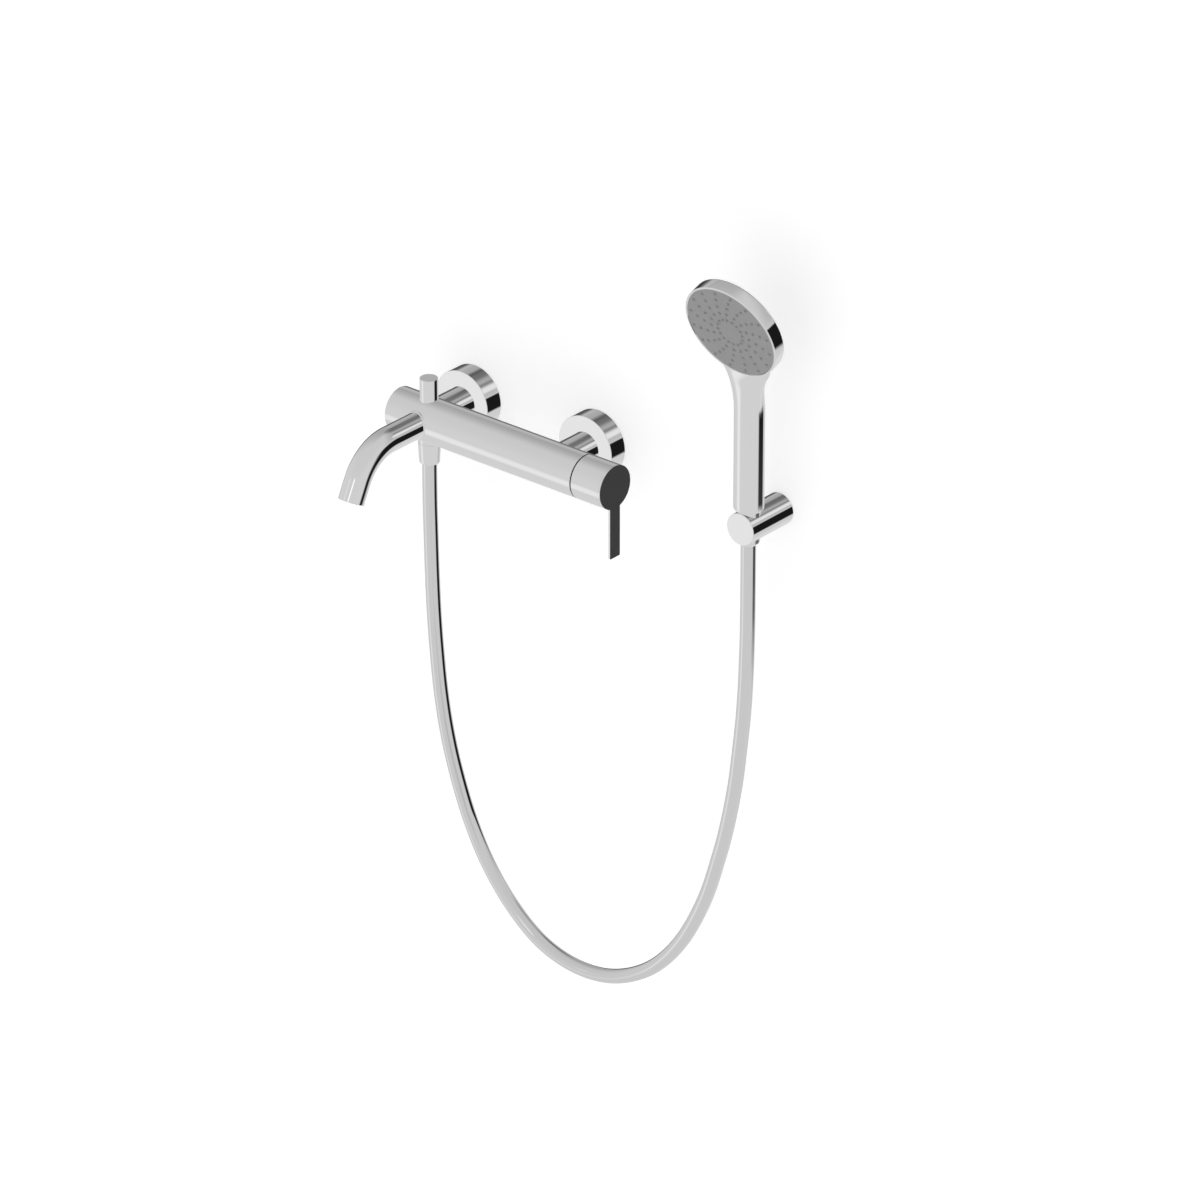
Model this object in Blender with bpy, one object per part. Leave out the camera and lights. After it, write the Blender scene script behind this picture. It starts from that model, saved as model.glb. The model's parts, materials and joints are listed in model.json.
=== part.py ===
"""Wall mounted single-lever bath mixer with spout, diverter, hose, hand shower and wall holder.

The origin is on the wall, midway between the two wall connections, at the height of the
mixer's axis. +X runs along the wall to the right, +Y points into the wall and +Z is up.
Every length is in metres.
"""

import math

import bmesh
import bpy
import numpy as np
from mathutils import Vector

MM = 0.001

# Clearances
GAP = 0.3 * MM
SEAM_GAP = 1.0 * MM

# Mixer body
INLET_SPACING = 150.0 * MM
AXIS_FROM_WALL = 64.8 * MM
BODY_RADIUS = 21.45 * MM
BODY_WALL = 2.6 * MM
BODY_PAST_LEFT_INLET = 36.2 * MM
SEAM_PAST_RIGHT_INLET = 38.5 * MM
END_PLUG_THICKNESS = 3.0 * MM

# Wall connections
STUB_RADIUS = 15.7 * MM
STUB_BORE = 13.0 * MM
STUB_END_FROM_WALL = 13.7 * MM
ESCUTCHEON_RADIUS = 31.55 * MM
ESCUTCHEON_DEPTH = 19.2 * MM
ESCUTCHEON_WALL = 1.6 * MM
SEAL_WIDTH = 4.5 * MM
SEAL_DEPTH = 3.0 * MM
UNION_THREAD_RADIUS = 10.4 * MM
UNION_THREAD_LENGTH = 18.0 * MM
UNION_FRONT_RADIUS = 13.2 * MM
UNION_FRONT_DEPTH = 6.0 * MM
UNION_BORE = 7.5 * MM
UNION_NUT_FLATS = 32.0 * MM
UNION_NUT_SHOULDER = 2.5 * MM
WASHER_THICKNESS = 2.0 * MM
NIPPLE_RADIUS = 10.7 * MM
NIPPLE_FLANGE = 2.0 * MM
NIPPLE_BORE = 8.0 * MM
CHECK_VALVE_START = 15.0 * MM
CHECK_VALVE_LENGTH = 13.0 * MM
CHECK_SEAT_RADIUS = 3.5 * MM
CHECK_POPPET_RADIUS = 5.5 * MM

# Waterway core
HOT_BORE = 4.0 * MM
MIXED_BORE = 4.0 * MM
CHANNEL_BACK = 12.5 * MM
CHANNEL_RISE = 6.0 * MM
MIXED_DROP = 9.0 * MM
MIXED_FRONT = 3.0 * MM
DIVERTER_BORE = 7.5 * MM
DIVERTER_SEAT_HEIGHT = 5.45 * MM - BODY_RADIUS
DIVERTER_SEAT_RADIUS = 5.0 * MM
SPOUT_PORT_RADIUS = 5.0 * MM
SPOUT_PORT_RISE = 4.0 * MM

# Cartridge, measured along the body's axis from the core's right end
CORE_END_PAST_RIGHT_INLET = 11.7 * MM
SEAT_THICKNESS = 4.5 * MM
BASE_SEAL_THICKNESS = 1.5 * MM
CERAMIC_THICKNESS = 3.0 * MM
CARTRIDGE_RADIUS = 17.3 * MM
CARTRIDGE_WALL = 1.8 * MM
CARTRIDGE_NECK_RADIUS = 14.7 * MM
CARTRIDGE_SKIRT = 13.4 * MM
CARTRIDGE_LENGTH = 25.4 * MM
CARTRIDGE_END_WALL_START = 10.9 * MM
LOCK_RING_LENGTH = 5.4 * MM
SPINDLE_COLLAR_RADIUS = 8.0 * MM
SPINDLE_RADIUS = 4.0 * MM
SPINDLE_PLATE_RADIUS = 13.0 * MM
LIMIT_RING_THICKNESS = 3.0 * MM
LIMIT_RING_RADIUS = 13.0 * MM

# Handle
LEVER_FACE_PAST_SEAM = 35.8 * MM
LEVER_THICKNESS = 1.7 * MM
LEVER_FACE_THICKNESS = 0.5 * MM
LEVER_WIDTH = 13.7 * MM
LEVER_REACH = 70.8 * MM
CAP_WALL = 2.4 * MM
CAP_END_WALL = 3.0 * MM
CAP_BOSS_RADIUS = 7.5 * MM
CAP_BOSS_LENGTH = 15.5 * MM
CAP_BORE_LENGTH = 12.0 * MM
GRUB_RADIUS = 2.4 * MM
GRUB_LENGTH = 8.0 * MM

# Diverter
KNOB_RADIUS = 8.6 * MM
KNOB_TOP = BODY_RADIUS + 20.55 * MM
KNOB_BOTTOM = BODY_RADIUS - 8.45 * MM
BUSHING_BOTTOM = BODY_RADIUS - 11.95 * MM
BUSHING_TOP = BODY_RADIUS - 9.15 * MM
STEM_RADIUS = 2.5 * MM
POPPET_THICKNESS = 1.2 * MM
POPPET_SEAL_THICKNESS = 1.0 * MM
SPRING_RADIUS = 4.6 * MM
SPRING_WIRE = 0.8 * MM
SPRING_TURNS = 5

# Spout
SPOUT_RADIUS = 12.5 * MM
SPOUT_WALL = 1.8 * MM
SPOUT_STRAIGHT = 57.0 * MM
SPOUT_BEND_RADIUS = 49.0 * MM
SPOUT_BEND_ANGLE = math.radians(63.0)
SPOUT_END = 20.0 * MM
SPOUT_NIPPLE_LENGTH = 16.0 * MM
AERATOR_LENGTH = 11.0 * MM
AERATOR_WALL = 1.6 * MM

# Hose and its two nuts
HOSE_RADIUS = 7.0 * MM
HOSE_THREAD_RADIUS = 8.1 * MM
HOSE_THREAD_LENGTH = 10.7 * MM
HOSE_BORE = 5.0 * MM
FERRULE_THICKNESS = 2.0 * MM
OUTLET_STUB_RADIUS = 10.6 * MM
OUTLET_STUB_BOTTOM = -BODY_RADIUS - 1.55 * MM
HOSE_NUT_TOP_RADIUS = 10.75 * MM
HOSE_NUT_BOTTOM_RADIUS = 9.6 * MM
HOSE_NUT_LENGTH = 20.7 * MM
CONE_TOP_RADIUS = 10.7 * MM
CONE_BOTTOM_RADIUS = 10.4 * MM
CONE_LENGTH = 34.7 * MM
CONE_CHAMFER = 3.0 * MM

# Wall holder
HOLDER_X = 289.5 * MM
HOLDER_HEIGHT = -0.8 * MM
HOLDER_RADIUS = 15.5 * MM
HOLDER_DEPTH = 57.0 * MM
SOCKET_FROM_WALL = 45.0 * MM
SOCKET_SLOT = 15.0 * MM
HOLDER_HOLLOW_RADIUS = 13.3 * MM
HOLDER_HOLLOW_DEPTH = 20.0 * MM
WALL_PLATE_DEPTH = 12.0 * MM
WALL_SCREW_RADIUS = 2.2 * MM
WALL_SCREW_HEAD = 4.3 * MM
WALL_SCREW_LENGTH = 38.0 * MM

# Hand shower
HANDLE_RADIUS = 14.0 * MM
HANDLE_BOTTOM = 15.5 * MM
HANDLE_STRAIGHT_TOP = 112.0 * MM
HEAD_RADIUS = 50.0 * MM
HEAD_RIM = 12.2 * MM
HEAD_DOME = 8.0 * MM
HEAD_TILT = math.radians(19.3)
FACE_FROM_WALL = 73.4 * MM
FACE_HEIGHT = 200.5 * MM
FACE_RADIUS = 48.0 * MM
FACE_THICKNESS = 1.8 * MM
MAT_THICKNESS = 1.5 * MM
DISTRIBUTOR_THICKNESS = 1.6 * MM
HEAD_CHAMBER = 9.0 * MM
HANDLE_BORE = 11.4 * MM

# Derived places
LEFT = -INLET_SPACING / 2
RIGHT = INLET_SPACING / 2
AXIS_Y = -AXIS_FROM_WALL
BODY_START = LEFT - BODY_PAST_LEFT_INLET
BODY_BORE = BODY_RADIUS - BODY_WALL
CORE_RADIUS = BODY_BORE - GAP
SEAM = RIGHT + SEAM_PAST_RIGHT_INLET
BODY_END = SEAM - SEAM_GAP / 2
CAP_START = SEAM + SEAM_GAP / 2
CORE_END = RIGHT + CORE_END_PAST_RIGHT_INLET


def clear_scene():
    for obj in list(bpy.data.objects):
        bpy.data.objects.remove(obj, do_unlink=True)


clear_scene()
MIXER = bpy.data.collections.new("wall_mounted_bath_faucet")
CUTTERS = bpy.data.collections.new("cutters")
bpy.context.scene.collection.children.link(MIXER)
bpy.context.scene.collection.children.link(CUTTERS)


def finish_material(name, colour, roughness, metallic):
    material = bpy.data.materials.new(name)
    material.use_nodes = True
    shader = material.node_tree.nodes["Principled BSDF"]
    shader.inputs["Base Color"].default_value = (*colour, 1.0)
    shader.inputs["Roughness"].default_value = roughness
    shader.inputs["Metallic"].default_value = metallic
    return material


FINISHES = {
    "chrome": ((0.86, 0.87, 0.88), 0.05, 1.0),
    "brass": ((0.80, 0.62, 0.33), 0.30, 1.0),
    "steel": ((0.62, 0.63, 0.64), 0.30, 1.0),
    "dark_face": ((0.035, 0.036, 0.038), 0.35, 0.0),
    "ceramic": ((0.90, 0.89, 0.86), 0.25, 0.0),
    "rubber": ((0.03, 0.03, 0.03), 0.70, 0.0),
    "fibre": ((0.55, 0.20, 0.12), 0.80, 0.0),
    "white_plastic": ((0.85, 0.85, 0.83), 0.40, 0.0),
    "grey_plastic": ((0.33, 0.33, 0.34), 0.45, 0.0),
    "hose_silver": ((0.66, 0.67, 0.68), 0.25, 0.6),
}


def place(obj, finish, cutter=False):
    """Links the object to its collection and gives a part its own material."""
    if cutter:
        CUTTERS.objects.link(obj)
        obj.hide_render = True
        obj.display_type = "WIRE"
        return obj
    MIXER.objects.link(obj)
    obj.data.materials.append(finish_material(obj.name, *FINISHES[finish]))
    return obj


def frame_of(axis):
    """The axis as a unit vector, with two unit vectors square to it."""
    along = Vector(axis).normalized()
    side = Vector((1, 0, 0)) if abs(along.x) < 0.9 else Vector((0, 0, 1))
    first = (side - along * side.dot(along)).normalized()
    return along, first, along.cross(first)


def turned(name, profile, base, axis, finish=None, steps=32):
    """Turns a profile of (radius, distance along the axis) points round a line.

    A profile that starts and ends on the axis makes a solid. Any other is a closed loop,
    and makes a ring.
    """
    along, first, second = frame_of(axis)
    base = Vector(base)
    solid = profile[0][0] == 0.0
    bm = bmesh.new()
    rings = []
    for radius, height in profile:
        centre = base + along * height
        if radius == 0.0:
            rings.append([bm.verts.new(centre)])
            continue
        ring = []
        for i in range(steps):
            turn = 2 * math.pi * i / steps
            ring.append(bm.verts.new(centre + radius * (math.cos(turn) * first + math.sin(turn) * second)))
        rings.append(ring)
    pairs = list(zip(rings, rings[1:]))
    if not solid:
        pairs.append((rings[-1], rings[0]))
    for a, b in pairs:
        for i in range(steps):
            j = (i + 1) % steps
            if len(a) == 1:
                bm.faces.new((a[0], b[i], b[j]))
            elif len(b) == 1:
                bm.faces.new((a[i], b[0], a[j]))
            else:
                bm.faces.new((a[i], b[i], b[j], a[j]))
    return from_bmesh(name, bm, finish)


def from_bmesh(name, bm, finish):
    bmesh.ops.recalc_face_normals(bm, faces=bm.faces)
    mesh = bpy.data.meshes.new(name)
    bm.to_mesh(mesh)
    bm.free()
    return place(bpy.data.objects.new(name, mesh), finish, cutter=finish is None)


def rod(name, start, end, radius, finish=None, steps=20):
    start = Vector(start)
    axis = Vector(end) - start
    profile = [(0.0, 0.0), (radius, 0.0), (radius, axis.length), (0.0, axis.length)]
    return turned(name, profile, start, axis, finish, steps)


def box(name, low, high, finish=None):
    bm = bmesh.new()
    bmesh.ops.create_cube(bm, size=1.0)
    for vert in bm.verts:
        for i in range(3):
            vert.co[i] = low[i] if vert.co[i] < 0 else high[i]
    return from_bmesh(name, bm, finish)


def loft(name, rings, finish=None):
    """Joins rings of equal point counts, and closes both ends with a fan."""
    bm = bmesh.new()
    made = [[bm.verts.new(point) for point in ring] for ring in rings]
    count = len(made[0])
    for a, b in zip(made, made[1:]):
        for i in range(count):
            j = (i + 1) % count
            bm.faces.new((a[i], a[j], b[j], b[i]))
    for ring in (made[0], made[-1]):
        middle = bm.verts.new(sum((vert.co for vert in ring), Vector()) / count)
        for i in range(count):
            bm.faces.new((middle, ring[i], ring[(i + 1) % count]))
    return from_bmesh(name, bm, finish)


def combine(target, other, operation):
    modifier = target.modifiers.new(f"{operation.lower()} {other.name}", "BOOLEAN")
    modifier.operation = operation
    modifier.solver = "EXACT"
    modifier.object = other


def cut(target, cutter):
    combine(target, cutter, "DIFFERENCE")


def join(target, other):
    combine(target, other, "UNION")


def bore(start, end, radius, steps=20):
    return rod(f"bore {len(CUTTERS.objects)}", start, end, radius, None, steps)


def drill(target, start, end, radius, steps=20):
    cut(target, bore(start, end, radius, steps))


def cut_all(target, first, *others):
    """Joins the cutters into one and cuts once, which keeps flat faces whole."""
    for other in others:
        join(first, other)
    cut(target, first)


def on_axis(x, back=0.0, rise=0.0):
    """A point of the mixer at x, this far behind and above the body's axis."""
    return Vector((x, AXIS_Y + back, rise))


# --- Mixer body: chromed shell with two rear stubs and the hose outlet's stub ---
EDGE = 0.4 * MM
mixer_body = turned(
    "mixer_body",
    [
        (0.0, BODY_START),
        (BODY_RADIUS - EDGE, BODY_START),
        (BODY_RADIUS, BODY_START + EDGE),
        (BODY_RADIUS, BODY_END - EDGE),
        (BODY_RADIUS - EDGE, BODY_END),
        (0.0, BODY_END),
    ],
    on_axis(0),
    (1, 0, 0),
    "chrome",
    40,
)
for x in (LEFT, RIGHT):
    stub_end = (x, -STUB_END_FROM_WALL, 0)
    join(mixer_body, rod(f"stub {x:.3f}", (x, AXIS_Y, 0), stub_end, STUB_RADIUS, None, 32))
outlet_bottom = on_axis(LEFT, 0, OUTLET_STUB_BOTTOM)
join(mixer_body, rod("outlet stub", on_axis(LEFT), outlet_bottom, OUTLET_STUB_RADIUS, None, 28))
SPOUT_BORE = SPOUT_RADIUS - SPOUT_WALL
OUTLET_RADIUS = OUTLET_STUB_RADIUS - 1.6 * MM
STUB_MOUTH = -STUB_END_FROM_WALL + 2 * MM
cut_all(
    mixer_body,
    bore(on_axis(BODY_START - 5 * MM), on_axis(BODY_END + 5 * MM), BODY_BORE, 40),
    bore(on_axis(LEFT, 10 * MM), (LEFT, STUB_MOUTH, 0), STUB_BORE, 32),
    bore(on_axis(RIGHT, 10 * MM), (RIGHT, STUB_MOUTH, 0), STUB_BORE, 32),
    bore(on_axis(LEFT, 0, 10 * MM), on_axis(LEFT, 0, 30 * MM), KNOB_RADIUS + GAP, 28),
    bore(on_axis(LEFT, -10 * MM), on_axis(LEFT, -30 * MM), SPOUT_BORE, 28),
    bore(on_axis(LEFT, 0, -10 * MM), on_axis(LEFT, 0, -30 * MM), OUTLET_RADIUS + GAP, 28),
)

rod(
    "body_end_plug",
    on_axis(BODY_START + EDGE),
    on_axis(BODY_START + EDGE + END_PLUG_THICKNESS),
    BODY_BORE - GAP,
    "chrome",
    32,
)

# --- Waterway core: one block with drilled hot, cold and mixed channels ---
CORE_START = BODY_START + EDGE + END_PLUG_THICKNESS + GAP
waterway_core = rod(
    "waterway_core", on_axis(CORE_START), on_axis(CORE_END), CORE_RADIUS, "white_plastic", 32
)
PAST = 2 * MM
PORT_RADIUS = 4.5 * MM
PORT_RISE = 4.5 * MM
OUTSIDE = CORE_RADIUS + PAST
THROUGH = CORE_END + PAST
cut_all(
    waterway_core,
    bore(
        on_axis(LEFT, CHANNEL_BACK, CHANNEL_RISE),
        on_axis(THROUGH, CHANNEL_BACK, CHANNEL_RISE),
        HOT_BORE,
        12,
    ),
    bore(
        on_axis(LEFT, CHANNEL_BACK - 1 * MM, PORT_RISE),
        on_axis(LEFT, OUTSIDE, PORT_RISE),
        PORT_RADIUS,
        12,
    ),
)
cut_all(
    waterway_core,
    bore(
        on_axis(RIGHT, CHANNEL_BACK, -CHANNEL_RISE),
        on_axis(THROUGH, CHANNEL_BACK, -CHANNEL_RISE),
        HOT_BORE,
        12,
    ),
    bore(
        on_axis(RIGHT, CHANNEL_BACK - 1 * MM, -PORT_RISE),
        on_axis(RIGHT, OUTSIDE, -PORT_RISE),
        PORT_RADIUS,
        12,
    ),
)
cut_all(
    waterway_core,
    bore(
        on_axis(LEFT, -MIXED_FRONT, -MIXED_DROP),
        on_axis(THROUGH, -MIXED_FRONT, -MIXED_DROP),
        MIXED_BORE,
        12,
    ),
    bore(on_axis(LEFT, 0, DIVERTER_SEAT_HEIGHT), on_axis(LEFT, 0, OUTSIDE), DIVERTER_BORE, 16),
    bore(on_axis(LEFT, 0, BUSHING_TOP), on_axis(LEFT, 0, OUTSIDE + PAST), KNOB_RADIUS + GAP, 16),
    bore(on_axis(LEFT, 0, -OUTSIDE), on_axis(LEFT), DIVERTER_SEAT_RADIUS, 16),
    bore(on_axis(LEFT, 0, SPOUT_PORT_RISE), on_axis(LEFT, -OUTSIDE, SPOUT_PORT_RISE), SPOUT_PORT_RADIUS, 12),
)

# --- Wall connections, the same on both sides ---
NIPPLE_FRONT = UNION_FRONT_DEPTH + GAP + WASHER_THICKNESS + GAP
NUT_SHOULDER_START = NIPPLE_FRONT + NIPPLE_FLANGE + GAP
NUT_END = NUT_SHOULDER_START + UNION_NUT_SHOULDER
NIPPLE_END = AXIS_FROM_WALL - CORE_RADIUS - 0.35 * MM
FLANGE_RADIUS = UNION_FRONT_RADIUS - 0.6 * MM
ESCUTCHEON_BORE = STUB_RADIUS + GAP
ESCUTCHEON_INSIDE = ESCUTCHEON_RADIUS - ESCUTCHEON_WALL
VALVE_END = CHECK_VALVE_START + CHECK_VALVE_LENGTH
VALVE_LIP = 1.5 * MM
VALVE_BORE = 6.0 * MM
POPPET_START = CHECK_VALVE_START + VALVE_LIP + GAP
for side, x in (("left", LEFT), ("right", RIGHT)):
    wall_point = (x, 0, 0)
    turned(
        f"{side}_wall_union",
        [
            (UNION_BORE, -UNION_THREAD_LENGTH),
            (UNION_THREAD_RADIUS, -UNION_THREAD_LENGTH),
            (UNION_THREAD_RADIUS, 0.5 * MM),
            (UNION_FRONT_RADIUS, 0.5 * MM),
            (UNION_FRONT_RADIUS, UNION_FRONT_DEPTH),
            (UNION_BORE, UNION_FRONT_DEPTH),
        ],
        wall_point,
        (0, -1, 0),
        "brass",
        20,
    )
    turned(
        f"{side}_inlet_washer",
        [
            (UNION_BORE, UNION_FRONT_DEPTH + GAP),
            (FLANGE_RADIUS, UNION_FRONT_DEPTH + GAP),
            (FLANGE_RADIUS, UNION_FRONT_DEPTH + GAP + WASHER_THICKNESS),
            (UNION_BORE, UNION_FRONT_DEPTH + GAP + WASHER_THICKNESS),
        ],
        wall_point,
        (0, -1, 0),
        "fibre",
        16,
    )
    turned(
        f"{side}_inlet_nipple",
        [
            (NIPPLE_BORE, NIPPLE_FRONT),
            (FLANGE_RADIUS, NIPPLE_FRONT),
            (FLANGE_RADIUS, NIPPLE_FRONT + NIPPLE_FLANGE),
            (NIPPLE_RADIUS, NIPPLE_FRONT + NIPPLE_FLANGE),
            (NIPPLE_RADIUS, NUT_END + 8 * MM),
            (STUB_BORE - GAP, NUT_END + 8 * MM),
            (STUB_BORE - GAP, NIPPLE_END),
            (NIPPLE_BORE, NIPPLE_END),
        ],
        wall_point,
        (0, -1, 0),
        "brass",
        20,
    )
    union_nut = turned(
        f"{side}_union_nut",
        [
            (0.0, 1.0 * MM),
            (UNION_NUT_FLATS / 2 / math.cos(math.pi / 6), 1.0 * MM),
            (UNION_NUT_FLATS / 2 / math.cos(math.pi / 6), NUT_END),
            (0.0, NUT_END),
        ],
        wall_point,
        (0, -1, 0),
        "brass",
        6,
    )
    drill(union_nut, (x, 5 * MM, 0), (x, -NUT_SHOULDER_START, 0), UNION_FRONT_RADIUS + GAP, 20)
    drill(union_nut, (x, 0, 0), (x, -NUT_END - 5 * MM, 0), NIPPLE_RADIUS + GAP, 20)
    turned(
        f"{side}_escutcheon",
        [
            (ESCUTCHEON_INSIDE, 0.0),
            (ESCUTCHEON_RADIUS, 0.0),
            (ESCUTCHEON_RADIUS, ESCUTCHEON_DEPTH - EDGE),
            (ESCUTCHEON_RADIUS - EDGE, ESCUTCHEON_DEPTH),
            (ESCUTCHEON_BORE, ESCUTCHEON_DEPTH),
            (ESCUTCHEON_BORE, ESCUTCHEON_DEPTH - ESCUTCHEON_WALL),
            (ESCUTCHEON_INSIDE, ESCUTCHEON_DEPTH - ESCUTCHEON_WALL),
        ],
        wall_point,
        (0, -1, 0),
        "chrome",
        36,
    )
    turned(
        f"{side}_escutcheon_seal",
        [
            (ESCUTCHEON_INSIDE - GAP - SEAL_WIDTH, 0.0),
            (ESCUTCHEON_INSIDE - GAP, 0.0),
            (ESCUTCHEON_INSIDE - GAP, SEAL_DEPTH),
            (ESCUTCHEON_INSIDE - GAP - SEAL_WIDTH, SEAL_DEPTH),
        ],
        wall_point,
        (0, -1, 0),
        "rubber",
        28,
    )
    turned(
        f"{side}_check_valve",
        [
            (CHECK_SEAT_RADIUS, CHECK_VALVE_START),
            (NIPPLE_BORE - GAP, CHECK_VALVE_START),
            (NIPPLE_BORE - GAP, VALVE_END),
            (4.0 * MM, VALVE_END),
            (4.0 * MM, VALVE_END - VALVE_LIP),
            (VALVE_BORE, VALVE_END - VALVE_LIP),
            (VALVE_BORE, CHECK_VALVE_START + VALVE_LIP),
            (CHECK_SEAT_RADIUS, CHECK_VALVE_START + VALVE_LIP),
        ],
        wall_point,
        (0, -1, 0),
        "white_plastic",
        16,
    )
    turned(
        f"{side}_check_poppet",
        [
            (0.0, POPPET_START),
            (CHECK_POPPET_RADIUS, POPPET_START),
            (CHECK_POPPET_RADIUS, POPPET_START + 2.5 * MM),
            (2.5 * MM, POPPET_START + 2.5 * MM),
            (2.5 * MM, POPPET_START + 6.5 * MM),
            (0.0, POPPET_START + 6.5 * MM),
        ],
        wall_point,
        (0, -1, 0),
        "rubber",
        16,
    )

# --- Cartridge ---
PORTS = (
    (CHANNEL_BACK, CHANNEL_RISE, HOT_BORE),
    (CHANNEL_BACK, -CHANNEL_RISE, HOT_BORE),
    (-MIXED_FRONT, -MIXED_DROP, MIXED_BORE),
)


def ported_disc(name, start, thickness, radius, finish):
    """A disc across the body's axis with the hot, cold and mixed ports drilled through."""
    disc = rod(name, on_axis(start), on_axis(start + thickness), radius, finish, 28)
    for back, rise, bore in PORTS:
        shrink = min(1.0, (radius - bore - 1.0 * MM) / math.hypot(back, rise))
        y, z = back * shrink, rise * shrink
        drill(disc, on_axis(start - PAST, y, z), on_axis(start + thickness + PAST, y, z), bore * 0.8, 12)
    return start + thickness + GAP


seal_start = ported_disc("cartridge_seat", CORE_END + GAP, SEAT_THICKNESS, CORE_RADIUS, "brass")
CARTRIDGE_START = ported_disc(
    "cartridge_base_seal", seal_start, BASE_SEAL_THICKNESS, CARTRIDGE_RADIUS, "rubber"
)
CARTRIDGE_INSIDE = CARTRIDGE_RADIUS - CARTRIDGE_WALL
moving_start = ported_disc(
    "fixed_ceramic_disc", CARTRIDGE_START, CERAMIC_THICKNESS, CARTRIDGE_INSIDE - GAP, "ceramic"
)
moving_disc = rod(
    "moving_ceramic_disc",
    on_axis(moving_start),
    on_axis(moving_start + CERAMIC_THICKNESS),
    CARTRIDGE_INSIDE - 4 * GAP,
    "ceramic",
    28,
)
cut(
    moving_disc,
    box(
        "mixing pocket",
        on_axis(moving_start - PAST, -5 * MM, -11 * MM),
        on_axis(moving_start + 1.6 * MM, 11 * MM, 2 * MM),
    ),
)
turned(
    "cartridge_housing",
    [
        (CARTRIDGE_INSIDE, CARTRIDGE_START),
        (CARTRIDGE_RADIUS, CARTRIDGE_START),
        (CARTRIDGE_RADIUS, CARTRIDGE_START + CARTRIDGE_SKIRT),
        (CARTRIDGE_NECK_RADIUS, CARTRIDGE_START + CARTRIDGE_SKIRT),
        (CARTRIDGE_NECK_RADIUS, CARTRIDGE_START + CARTRIDGE_LENGTH),
        (SPINDLE_COLLAR_RADIUS + GAP, CARTRIDGE_START + CARTRIDGE_LENGTH),
        (SPINDLE_COLLAR_RADIUS + GAP, CARTRIDGE_START + CARTRIDGE_END_WALL_START),
        (CARTRIDGE_INSIDE, CARTRIDGE_START + CARTRIDGE_END_WALL_START),
    ],
    on_axis(0),
    (1, 0, 0),
    "white_plastic",
    28,
)
LOCK_START = CARTRIDGE_START + CARTRIDGE_SKIRT + GAP
turned(
    "cartridge_lock_ring",
    [
        (CARTRIDGE_NECK_RADIUS + GAP, LOCK_START),
        (CORE_RADIUS, LOCK_START),
        (CORE_RADIUS, LOCK_START + LOCK_RING_LENGTH),
        (CARTRIDGE_NECK_RADIUS + GAP, LOCK_START + LOCK_RING_LENGTH),
    ],
    on_axis(0),
    (1, 0, 0),
    "brass",
    28,
)
LEVER_FACE_X = SEAM + LEVER_FACE_PAST_SEAM
LEVER_START = LEVER_FACE_X - LEVER_FACE_THICKNESS - GAP - LEVER_THICKNESS
CAP_END = LEVER_START - GAP
CAP_BORE_END = CAP_END - CAP_END_WALL - 3.0 * MM
SPINDLE_START = moving_start + CERAMIC_THICKNESS + GAP
LIMIT_START = CARTRIDGE_START + CARTRIDGE_LENGTH + GAP
turned(
    "cartridge_spindle",
    [
        (0.0, SPINDLE_START),
        (SPINDLE_PLATE_RADIUS, SPINDLE_START),
        (SPINDLE_PLATE_RADIUS, SPINDLE_START + 3.4 * MM),
        (SPINDLE_COLLAR_RADIUS, SPINDLE_START + 3.4 * MM),
        (SPINDLE_COLLAR_RADIUS, LIMIT_START + LIMIT_RING_THICKNESS + 1 * MM),
        (SPINDLE_RADIUS, LIMIT_START + LIMIT_RING_THICKNESS + 1 * MM),
        (SPINDLE_RADIUS, CAP_BORE_END - GAP),
        (0.0, CAP_BORE_END - GAP),
    ],
    on_axis(0),
    (1, 0, 0),
    "brass",
    20,
)
turned(
    "temperature_limit_ring",
    [
        (SPINDLE_COLLAR_RADIUS + GAP, LIMIT_START),
        (LIMIT_RING_RADIUS, LIMIT_START),
        (LIMIT_RING_RADIUS, LIMIT_START + LIMIT_RING_THICKNESS),
        (SPINDLE_COLLAR_RADIUS + GAP, LIMIT_START + LIMIT_RING_THICKNESS),
    ],
    on_axis(0),
    (1, 0, 0),
    "fibre",
    20,
)

# --- Handle: cap on the spindle, lever plate on the cap, dark face on the lever ---
CAP_INSIDE = BODY_RADIUS - CAP_WALL
handle_cap = turned(
    "handle_cap",
    [
        (0.0, CAP_END),
        (BODY_RADIUS, CAP_END),
        (BODY_RADIUS, CAP_START + EDGE),
        (BODY_RADIUS - EDGE, CAP_START),
        (CAP_INSIDE, CAP_START),
        (CAP_INSIDE, CAP_END - CAP_END_WALL),
        (CAP_BOSS_RADIUS, CAP_END - CAP_END_WALL),
        (CAP_BOSS_RADIUS, CAP_END - CAP_END_WALL - CAP_BOSS_LENGTH),
        (SPINDLE_RADIUS + GAP, CAP_END - CAP_END_WALL - CAP_BOSS_LENGTH),
        (SPINDLE_RADIUS + GAP, CAP_BORE_END),
        (0.0, CAP_BORE_END),
    ],
    on_axis(0),
    (1, 0, 0),
    "chrome",
    40,
)
GRUB_X = CAP_BORE_END - CAP_BORE_LENGTH / 2
drill(
    handle_cap,
    on_axis(GRUB_X, 0, -SPINDLE_RADIUS + 1 * MM),
    on_axis(GRUB_X, 0, -BODY_RADIUS - 5 * MM),
    GRUB_RADIUS + GAP,
    12,
)
grub_low = -SPINDLE_RADIUS - GAP - GRUB_LENGTH
handle_grub_screw = rod(
    "handle_grub_screw",
    on_axis(GRUB_X, 0, grub_low),
    on_axis(GRUB_X, 0, grub_low + GRUB_LENGTH),
    GRUB_RADIUS,
    "steel",
    12,
)
drill(
    handle_grub_screw,
    on_axis(GRUB_X, 0, grub_low - PAST),
    on_axis(GRUB_X, 0, grub_low + 3 * MM),
    1.3 * MM,
    6,
)


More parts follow.
